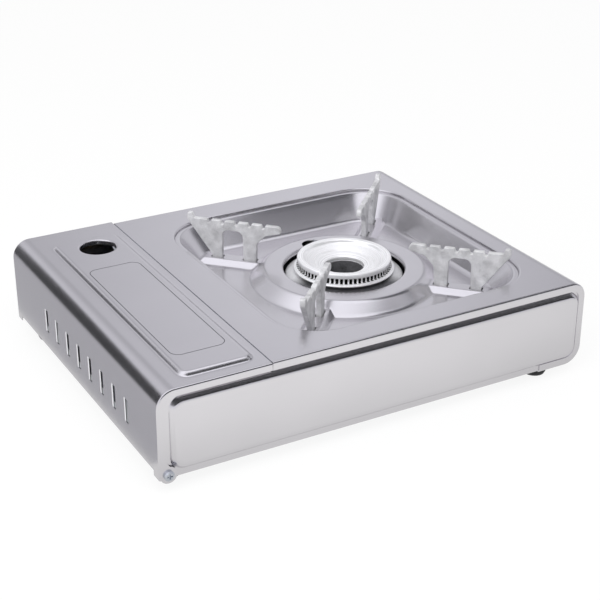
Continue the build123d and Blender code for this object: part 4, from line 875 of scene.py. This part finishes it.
def follow(tree, pattern, low, high):
    """A number or a colour that goes from low to high as a noise pattern goes from 0.3 to 0.7."""
    limits = {"Value": pattern, "From Min": 0.3, "From Max": 0.7}
    if isinstance(low, str):
        share = add(tree, "MapRange", limits)
        return add(tree, "Mix", {0: share, 6: colour(low), 7: colour(high)}, data_type="RGBA")
    return add(tree, "MapRange", {**limits, "To Min": low, "To Max": high})


def close_material(tree, inputs, height, strength, depth, under=None):
    """The Principled shader with these inputs, over bumps of a depth in millimetres, and the output. under is
    the normal that coarser bumps have already turned."""
    bump = add(tree, "Bump", {"Height": height, "Strength": strength, "Distance": depth * MM,
                              **({"Normal": under} if under else {})})
    shader = add(tree, "BsdfPrincipled", {**inputs, "Normal": bump})
    add(tree, "OutputMaterial", {"Surface": shader})


def rolled_sheet(name, light, dark, rough, grain_rough, wave):
    """Rolled steel sheet: a dull satin face with the mill's fine grain along X, faint colour clouds, and the
    slight waviness that pressing leaves."""
    material, tree, mm = start_material(name)
    # clouds about 60 mm across, from the annealing
    clouds = add(tree, "TexNoise", {"Vector": mm, "Scale": 0.016, "Detail": 2.0})
    # grain lines 0.4 mm apart and 12 mm long; the real ones are ten times finer
    along = add(tree, "Mapping", {"Vector": mm, "Scale": (0.08, 2.4, 2.4)})
    grain = add(tree, "TexNoise", {"Vector": along, "Scale": 1.0, "Detail": 3.0})
    # pressed sheet bulges by wave, hundredths of a millimetre at most, over 35 mm
    bulge = add(tree, "TexNoise", {"Vector": mm, "Scale": 0.028, "Detail": 1.0})
    waves = add(tree, "Bump", {"Height": bulge, "Strength": 1.0, "Distance": wave * MM})
    close_material(tree, {
        "Base Color": follow(tree, clouds, dark, light), "Metallic": 1.0,
        "Roughness": follow(tree, grain, rough - grain_rough, rough + grain_rough),
    }, grain, 0.1, 0.002, waves)
    return material


def grainy_metal(name, light, dark, metallic, rough, grain, depth):
    """Blasted, tumbled, cast or plated metal, alike in every direction: pits a grain across and a depth deep
    break the face into tiny facets, so it is dull with a fine sparkle."""
    material, tree, mm = start_material(name)
    pits = add(tree, "TexNoise", {"Vector": mm, "Scale": 1 / grain, "Detail": 4.0, "Roughness": 0.65})
    # clouds 8 mm across, from uneven blasting
    clouds = add(tree, "TexNoise", {"Vector": mm, "Scale": 0.12, "Detail": 2.0})
    both = add(tree, "Math", {0: pits, 1: clouds}, operation="ADD")
    half = add(tree, "Math", {0: both, 1: 0.5}, operation="MULTIPLY")
    close_material(tree, {
        "Base Color": follow(tree, half, dark, light), "Metallic": metallic,
        "Roughness": follow(tree, pits, rough + 0.08, rough - 0.08),
    }, pits, 0.6, depth)
    return material


def turned_metal(name, light, dark, metallic, rough, pitch):
    """Metal faced on a lathe about the burner's axis: fine circular tool marks, a pitch apart, that draw the
    light out into a fan, on a bright cut surface. The real marks are five times finer."""
    material, tree, mm = start_material(name)
    centred = add(tree, "Mapping", {"Vector": mm, "Location": (-burner[0], -burner[1] - body_middle_y, 0)})
    flat = add(tree, "VectorMath", {0: centred, 1: (1.0, 1.0, 0.35)}, operation="MULTIPLY")
    radius = add(tree, "VectorMath", {0: flat}, operation="LENGTH")
    marks = add(tree, "TexNoise", {"W": radius, "Scale": 1 / pitch, "Detail": 2.0}, noise_dimensions="1D")
    # spots 1.4 mm across, the casting's pores
    spots = add(tree, "TexNoise", {"Vector": mm, "Scale": 0.7, "Detail": 3.0})
    close_material(tree, {
        "Base Color": follow(tree, spots, dark, light), "Metallic": metallic,
        "Roughness": follow(tree, marks, rough - 0.05, rough + 0.05),
    }, marks, 0.4, 0.03)
    return material


def moulded(name, light, dark, rough, grain, depth, ior=1.5, coat=0.0):
    """Moulded or fired non-metal: one body colour with a slight cloud, and the fine texture of its mould."""
    material, tree, mm = start_material(name)
    texture = add(tree, "TexNoise", {"Vector": mm, "Scale": 1 / grain, "Detail": 3.0})
    close_material(tree, {
        "Base Color": follow(tree, texture, dark, light), "IOR": ior, "Coat Weight": coat,
        "Roughness": follow(tree, texture, rough - 0.06, rough + 0.06),
    }, texture, 0.4, depth)
    return material


def casting_with_painted_shade(name, light, dark, shade_light, shade_dark, metallic, rough):
    """Aluminium as cast with painted shade at the rear of the burner, the side towards the camera that lies
    in shade under the ring's lip: the darker colour fades in across 18 mm along that way, with a sand texture
    all over."""
    material, tree, mm = start_material(name)
    centred = add(tree, "VectorMath", {0: mm, 1: (burner[0], burner[1] + body_middle_y, 0.0)},
                  operation="SUBTRACT")
    along = add(tree, "VectorMath", {0: centred, 1: painted_shade_way}, operation="DOT_PRODUCT")
    part = add(tree, "MapRange", {"Value": along, "From Min": painted_shade_span[0], "From Max": painted_shade_span[1]},
               interpolation_type="SMOOTHSTEP")
    # sand grains 0.8 mm across
    sand = add(tree, "TexNoise", {"Vector": mm, "Scale": 1.3, "Detail": 4.0})
    # painted shade blends in along the way towards the camera
    mixed = add(tree, "Mix", {0: part, 6: follow(tree, sand, dark, light),
                              7: follow(tree, sand, shade_dark, shade_light)}, data_type="RGBA")
    close_material(tree, {
        "Base Color": mixed, "Metallic": metallic,
        "Roughness": follow(tree, sand, rough - 0.05, rough + 0.05),
    }, sand, 0.5, 0.12)
    return material


finishes = {
    # cold-rolled ferritic stainless, temper-rolled: a satin grey mirror with soft edges
    "body_sheet": rolled_sheet("stainless_satin_rolled", "#DCDADD", "#D9D7DA", 0.24, 0.01, 0.006),
    # the same steel, bright-annealed and deep-drawn: as soft a mirror, a little more wavy
    "tray_sheet": rolled_sheet("stainless_bright_drawn", "#DCDADD", "#DAD8DB", 0.24, 0.012, 0.008),
    # galvanised sheet: spangled and slightly blue
    "zinc_sheet": rolled_sheet("galvanised_sheet", "#C4C8CC", "#AEB3B8", 0.34, 0.04, 0.06),
    # carbon-black natural rubber, moulded: matt, nearly black
    "foot_rubber": moulded("black_rubber_moulded", "#1C1C1D", "#141415", 0.62, 0.5, 0.05, 1.52),
    # nitrile rubber, moulded: black and slightly smoother
    "seal_rubber": moulded("nitrile_rubber_moulded", "#202022", "#17181A", 0.5, 0.4, 0.03, 1.52),
    # zinc-plated steel screws: bright with a blue cast
    "fasteners": grainy_metal("zinc_plated_screws", "#C9CDD3", "#B7BCC4", 1.0, 0.28, 0.8, 0.01),
    # cast steel, grit-blasted: pale dull grey with a sparkle
    "support_metal": grainy_metal("cast_steel_grit_blasted", "#F2F2F4", "#A6A6A8", 0.35, 0.5, 0.5, 0.12),
    # aluminium die casting, faced on a lathe: white metal with a fan of light
    "burner_casting": turned_metal("die_cast_aluminium_turned", "#FAFAFC", "#F0F0F2", 0.5, 0.3, 0.45),
    # drawn steel tube, lightly oiled: smooth and even
    "steel_tube": rolled_sheet("drawn_steel_tube", "#C0C0C2", "#ACACB0", 0.3, 0.03, 0.02),
    # zinc die castings, tumbled: soft grey, rounded off
    "gas_castings": grainy_metal("zinc_die_casting_tumbled", "#BDBEC0", "#A2A3A6", 1.0, 0.42, 0.9, 0.03),
    # free-cutting brass, turned: warm yellow and bright
    "brass_parts": grainy_metal("brass_turned", "#D2B26A", "#C2A055", 1.0, 0.3, 0.7, 0.01),
    # heat-resistant phenolic, moulded: black with a fine texture
    "black_plastic": moulded("phenolic_moulded_black", "#202122", "#18191A", 0.42, 0.35, 0.04, 1.6),
    # pressed mild steel, zinc-plated: like sheet, but duller
    "steel_parts": rolled_sheet("pressed_steel_plated", "#C2C4C8", "#AEB0B5", 0.3, 0.03, 0.03),
    # nylon body of the piezo unit, moulded: dark grey, half matt
    "igniter_plastic": moulded("nylon_moulded_grey", "#3A3B3D", "#303133", 0.48, 0.4, 0.03, 1.53),
    # silicone sleeve: red and slightly waxy
    "lead_insulation": moulded("silicone_sleeve_red", "#A3302A", "#8E2520", 0.45, 0.6, 0.02, 1.43),
    # glazed alumina: cream white under a clear gloss
    "electrode_ceramic": moulded("alumina_glazed", "#ECEAE4", "#E2DFD7", 0.3, 0.8, 0.01, 1.65, 0.6),
}
# the label's frame: stainless sheet etched dark
etched = moulded("stainless_etched_dark", "#55565A", "#4A4B4F", 0.6, 0.6, 0.002)
# the bowl's sides: aluminium as cast, painted dark grey as the shade in the gap under the head and the ring's
# lip, with a coarse sand texture
bowl_side_painted_shade = grainy_metal("die_cast_aluminium_raw_painted_shade", "#96969A", "#4A4A4C", 0.6, 0.5, 0.8, 0.2)
# the bowl's flange and the head's bead: aluminium as cast, bright, with painted shade darkening their rear,
# towards the camera
shaded_casting = casting_with_painted_shade("die_cast_aluminium_painted_shade", "#F4F4F6", "#DADADC", "#7C7C80", "#2C2C2E", 0.55, 0.4)
# the sheared and rolled edges of the cover's slots: a painted highlight, lighter than the face, where they
# catch the light
slot_edge_highlight = grainy_metal("stainless_painted_slot_highlight", "#F2F2F4", "#E8E8EA", 0.4, 0.35, 0.8, 0.01)
# the flame ports' walls: painted black shade, as deep inside a narrow hole
port_wall_shade = moulded("aluminium_painted_port_shade", "#0C0C0D", "#080808", 0.8, 0.6, 0.02)


# ---- Pieces ----
def finish_piece(piece, body, slot, *nodes):
    """Puts a piece on its body, in its finish, in place of the nodes that it stands for."""
    piece.data.materials.clear()
    piece.data.materials.append(finishes[slot])
    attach(piece, body)
    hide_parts(*nodes)
    return piece


def from_burner(face):
    """A face's distance from the burner's axis and its height."""
    x, y, z = np.array(face.center) / MM - (burner[0], burner[1] + body_middle_y, 0.0)
    return math.hypot(x, y), z


slot_of = {part["node"]: part["material_slot"] for part in frame["record"]["subparts"]}
for node_name, node in frame["nodes"].items():
    for place in node.material_slots:
        place.link = "OBJECT"
        place.material = finishes[slot_of[node_name]]

finish_piece(main_shell_piece(), "root", "body_sheet", "main_shell")
lid = finish_piece(lid_piece(), "lid", "body_sheet", "cartridge_lid")
lid.data.materials.append(slot_edge_highlight)
# slot edges that face part way to the rear get the painted highlight
for face in lid.data.polygons:
    x, y, z = np.array(face.center) / MM - (0.0, body_middle_y, 0.0)
    in_slot = from_slot(y) < slot_half and slot_z[0] < z < slot_z[1]
    if in_slot and x > half_width - 2 * sheet and 0.2 < face.normal.y < 0.75:
        face.material_index = 1
label = label_piece()
label.data.materials.append(etched)
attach(label, "lid")
finish_piece(panel_piece("rear_panel_sheet", 1), "root", "body_sheet", "rear_panel")
finish_piece(panel_piece("front_panel_sheet", -1), "root", "body_sheet", "front_panel")
finish_piece(tray_piece(), "tray", "tray_sheet", "drip_tray")
for number in range(1, 5):
    finish_piece(support_piece(number), "tray", "support_metal", f"pot_support_{number}")

head = finish_piece(head_piece(), "root", "burner_casting", "burner_head")
# the ports' walls get painted black shade
head.data.materials.append(port_wall_shade)
# the bead under the ports gets painted shade at its rear
head.data.materials.append(shaded_casting)
for face in head.data.polygons:
    r, z = from_burner(face)
    if port_depth_r - 0.1 < r < port_wall_r - 0.2 and port_z[0] - 0.1 < z < port_z[1] + 0.1:
        face.material_index = 1
    elif z < bead_centre[1] + 0.35 and r > head_r + 0.2:
        face.material_index = 2
bowl = finish_piece(bowl_piece(), "root", "burner_casting", "burner_body")
# every other face of the bowl gets the side painted dark as shade
bowl.data.materials.append(bowl_side_painted_shade)
# the flange's upper faces get painted shade at their rear
bowl.data.materials[0] = shaded_casting
for face in bowl.data.polygons:
    r, z = from_burner(face)
    face.material_index = 0 if z > bowl_flange_z[1] - 0.5 and face.normal.z > 0.5 else 1


# ---- Floor, light and camera, in metres ----
footprint = (0.17, 0.143)      # half the stove's width and depth
paper_white = 0.88             # share of the paper's white that is its own, to the camera
paper_near = (0.02, 0.09)      # from the footprint, where the painted shadow that reflections see is deepest and where it has gone
paper_left = (-0.3, -0.05)     # along X, likewise
camera_lens = 83.98
camera_place = to_frame((458.215, 836.814, 499.355))
camera_target = to_frame((42.75, 90.37, 90.42))


def stage_mesh(name, corners, material):
    """A flat piece of the studio."""
    mesh = bpy.data.meshes.new(name)
    mesh.from_pydata(corners, [], [list(range(len(corners)))])
    mesh.materials.append(material)
    thing = put(name, mesh)
    return thing


def only_mirrored(thing):
    """Leaves a thing to reflections alone."""
    for ray_kind in ("camera", "diffuse", "shadow", "volume_scatter"):
        setattr(thing, f"visible_{ray_kind}", False)


def paper_floor():
    """A white paper floor. For the camera the paper is nearly white by itself and keeps a faint shadow. In
    reflections it carries a painted shadow: greyer near the stove and on its left, as under a soft lamp."""
    paper, tree = empty_material("white_paper_backdrop")
    diffuse = add(tree, "BsdfPrincipled", {"Base Color": colour("#F6F6F6"), "Roughness": 0.9,
                                           "Specular IOR Level": 0.0})
    ray = add(tree, "LightPath")
    mirrored = add(tree, "Math", {0: ray.outputs["Is Glossy Ray"],
                                  1: ray.outputs["Is Transmission Ray"]}, operation="MAXIMUM")
    here = add(tree, "NewGeometry").outputs["Position"]
    away = add(tree, "VectorMath", {0: here}, operation="ABSOLUTE")
    away = add(tree, "VectorMath", {0: away, 1: (*footprint, 0.0)}, operation="SUBTRACT")
    away = add(tree, "SeparateXYZ", {"Vector": away})
    away = add(tree, "Math", {0: away.outputs["X"], 1: away.outputs["Y"]}, operation="MAXIMUM")
    # painted shadow, for reflections alone: greyer near the stove and on its left
    near = add(tree, "MapRange", {"Value": away, "From Min": paper_near[0], "From Max": paper_near[1],
                                  "To Min": 0.78, "To Max": 1.0})
    across = add(tree, "SeparateXYZ", {"Vector": here})
    left = add(tree, "MapRange", {"Value": across.outputs["X"], "From Min": paper_left[0],
                                  "From Max": paper_left[1], "To Min": 0.85, "To Max": 1.0})
    grey = add(tree, "Math", {0: near, 1: left}, operation="MULTIPLY")
    level = add(tree, "Mix", {0: mirrored, 2: 1.0, 3: grey})
    own_white = add(tree, "Emission", {"Strength": level})
    share = add(tree, "Math", {0: ray.outputs["Is Camera Ray"], 1: paper_white, 2: mirrored},
                operation="MULTIPLY_ADD")
    white = add(tree, "MixShader", {0: share, 1: diffuse, 2: own_white})
    add(tree, "OutputMaterial", {"Surface": white})
    stage_mesh("floor", [(-6, -6, 0), (6, -6, 0), (6, 6, 0), (-6, 6, 0)], paper)


def white_world():
    """An even white world: 1.0 to the camera and in reflections, and 0.7 as light on the stove."""
    world = bpy.data.worlds.new("studio")
    bpy.context.scene.world = world
    world.use_nodes = True
    sky = world.node_tree
    sky.nodes.clear()
    ray = add(sky, "LightPath")
    seen = add(sky, "Math", {0: ray.outputs["Is Camera Ray"], 1: ray.outputs["Is Glossy Ray"]},
               operation="MAXIMUM")
    seen = add(sky, "Math", {0: seen, 1: ray.outputs["Is Transmission Ray"]}, operation="MAXIMUM")
    strength = add(sky, "MapRange", {"Value": seen, "To Min": 0.7, "To Max": 1.0})
    background = add(sky, "Background", {"Color": colour("#FFFFFF"), "Strength": strength})
    add(sky, "OutputWorld", {"Surface": background})


def direction(azimuth, elevation):
    """The unit vector at an azimuth, 0 being +Y and 90 being +X, and an elevation, in degrees."""
    a, e = math.radians(azimuth), math.radians(elevation)
    return (math.sin(a) * math.cos(e), math.cos(a) * math.cos(e), math.sin(e))


# The studio as the metal sees it: light grey walls, a bright ceiling, a bright window high up at the stove's
# right rear, and a grey corner at its left front that is lighter in its middle. Each patch is azimuth,
# elevation, the angles where it starts to fade and has gone, and its brightness
wall_brightness = 0.74
studio_patches = (
    (0, 90, 20, 36, 1.3),
    (62, 52, 30, 62, 1.25),
    (210, 24, 22, 40, 0.54),
    (210, 24, 2, 19, 0.87),
)


def studio_room():
    """A big ball round the stove that only reflections see. Its brightness is a blend of the patches."""
    mesh = bpy.data.meshes.new("studio_walls")
    ball = bmesh.new()
    bmesh.ops.create_icosphere(ball, subdivisions=4, radius=4.0)
    ball.to_mesh(mesh)
    ball.free()
    room = put("studio_walls", mesh)
    paint, tree = empty_material("studio_cloth")
    place = add(tree, "TexCoord")
    way = add(tree, "VectorMath", {0: place.outputs["Object"]}, operation="NORMALIZE")
    level = wall_brightness
    for azimuth, elevation, near, far, brightness in studio_patches:
        dot = add(tree, "VectorMath", {0: way, 1: direction(azimuth, elevation)}, operation="DOT_PRODUCT")
        angle = add(tree, "Math", {0: dot}, operation="ARCCOSINE")
        part = add(tree, "MapRange", {"Value": angle, "From Min": math.radians(far),
                                      "From Max": math.radians(near)}, interpolation_type="SMOOTHSTEP")
        level = add(tree, "Mix", {0: part, 2: level, 3: brightness})
    light = add(tree, "Emission", {"Color": colour("#F8F8FF"), "Strength": level})
    add(tree, "OutputMaterial", {"Surface": light})
    mesh.materials.append(paint)
    only_mirrored(room)


def card(name, centre, across, up, code):
    """A matt board that only reflections see."""
    centre, across, up = (np.array(v, float) for v in (centre, across, up))
    corners = [centre - across - up, centre + across - up, centre + across + up, centre - across + up]
    paint, tree = empty_material(name)
    shader = add(tree, "BsdfPrincipled", {"Base Color": colour(code), "Roughness": 0.9})
    add(tree, "OutputMaterial", {"Surface": shader})
    only_mirrored(stage_mesh(name, [tuple(c) for c in corners], paint))


def look_at(thing, place, target):
    """Stands a lamp or a camera at a place, turned to a target."""
    thing.location = place
    way = np.array(target) - np.array(place)
    thing.rotation_euler = Vector(way).to_track_quat("-Z", "Y").to_euler()


def lamp(name, place, power):
    """A soft square lamp that points at the stove."""
    data = bpy.data.lights.new(name, "AREA")
    data.shape = "SQUARE"
    data.size = 1.2
    data.energy = power
    thing = put(name, data)
    look_at(thing, place, (0, 0, 0.05))
    thing.visible_glossy = False


paper_floor()
white_world()
studio_room()
# Each board's centre, the ways to its side and to its upper edge, and its grey. The sheets mirror them as
# dark bands and faces
card("card_beside", (0.52, -0.42, 0.2), (-0.16, -0.22, 0.0), (0.0, 0.0, 0.2), "#303032")
card("card_behind", (-0.12, 0.19, 0.19), (0.42, 0.0, 0.0), (0.0, 0.0, 0.1), "#0C0C0D")
card("card_above", (-0.3275, 0.03, 0.35), (0.1925, 0.0, 0.0), (0.0, 0.105, 0.0), "#5A5A60")
# the grey board on the floor is a painted shadow, where the board beside would shade the floor
card("card_painted_floor_shadow", (0.36, -0.35, 0.002), (0.18, 0.0, 0.0), (0.0, 0.46, 0.0), "#A6A6AA")
lamp("key", (0.3, 0.9, 1.6), 12.0)
lamp("fill", (1.4, 0.7, 1.2), 16.0)

camera_data = bpy.data.cameras.new("camera")
camera_data.sensor_width = 36.0
camera_data.lens = camera_lens
camera = put("camera", camera_data)
bpy.context.scene.camera = camera
look_at(camera, camera_place, camera_target)

bpy.context.scene.view_settings.view_transform = "Standard"
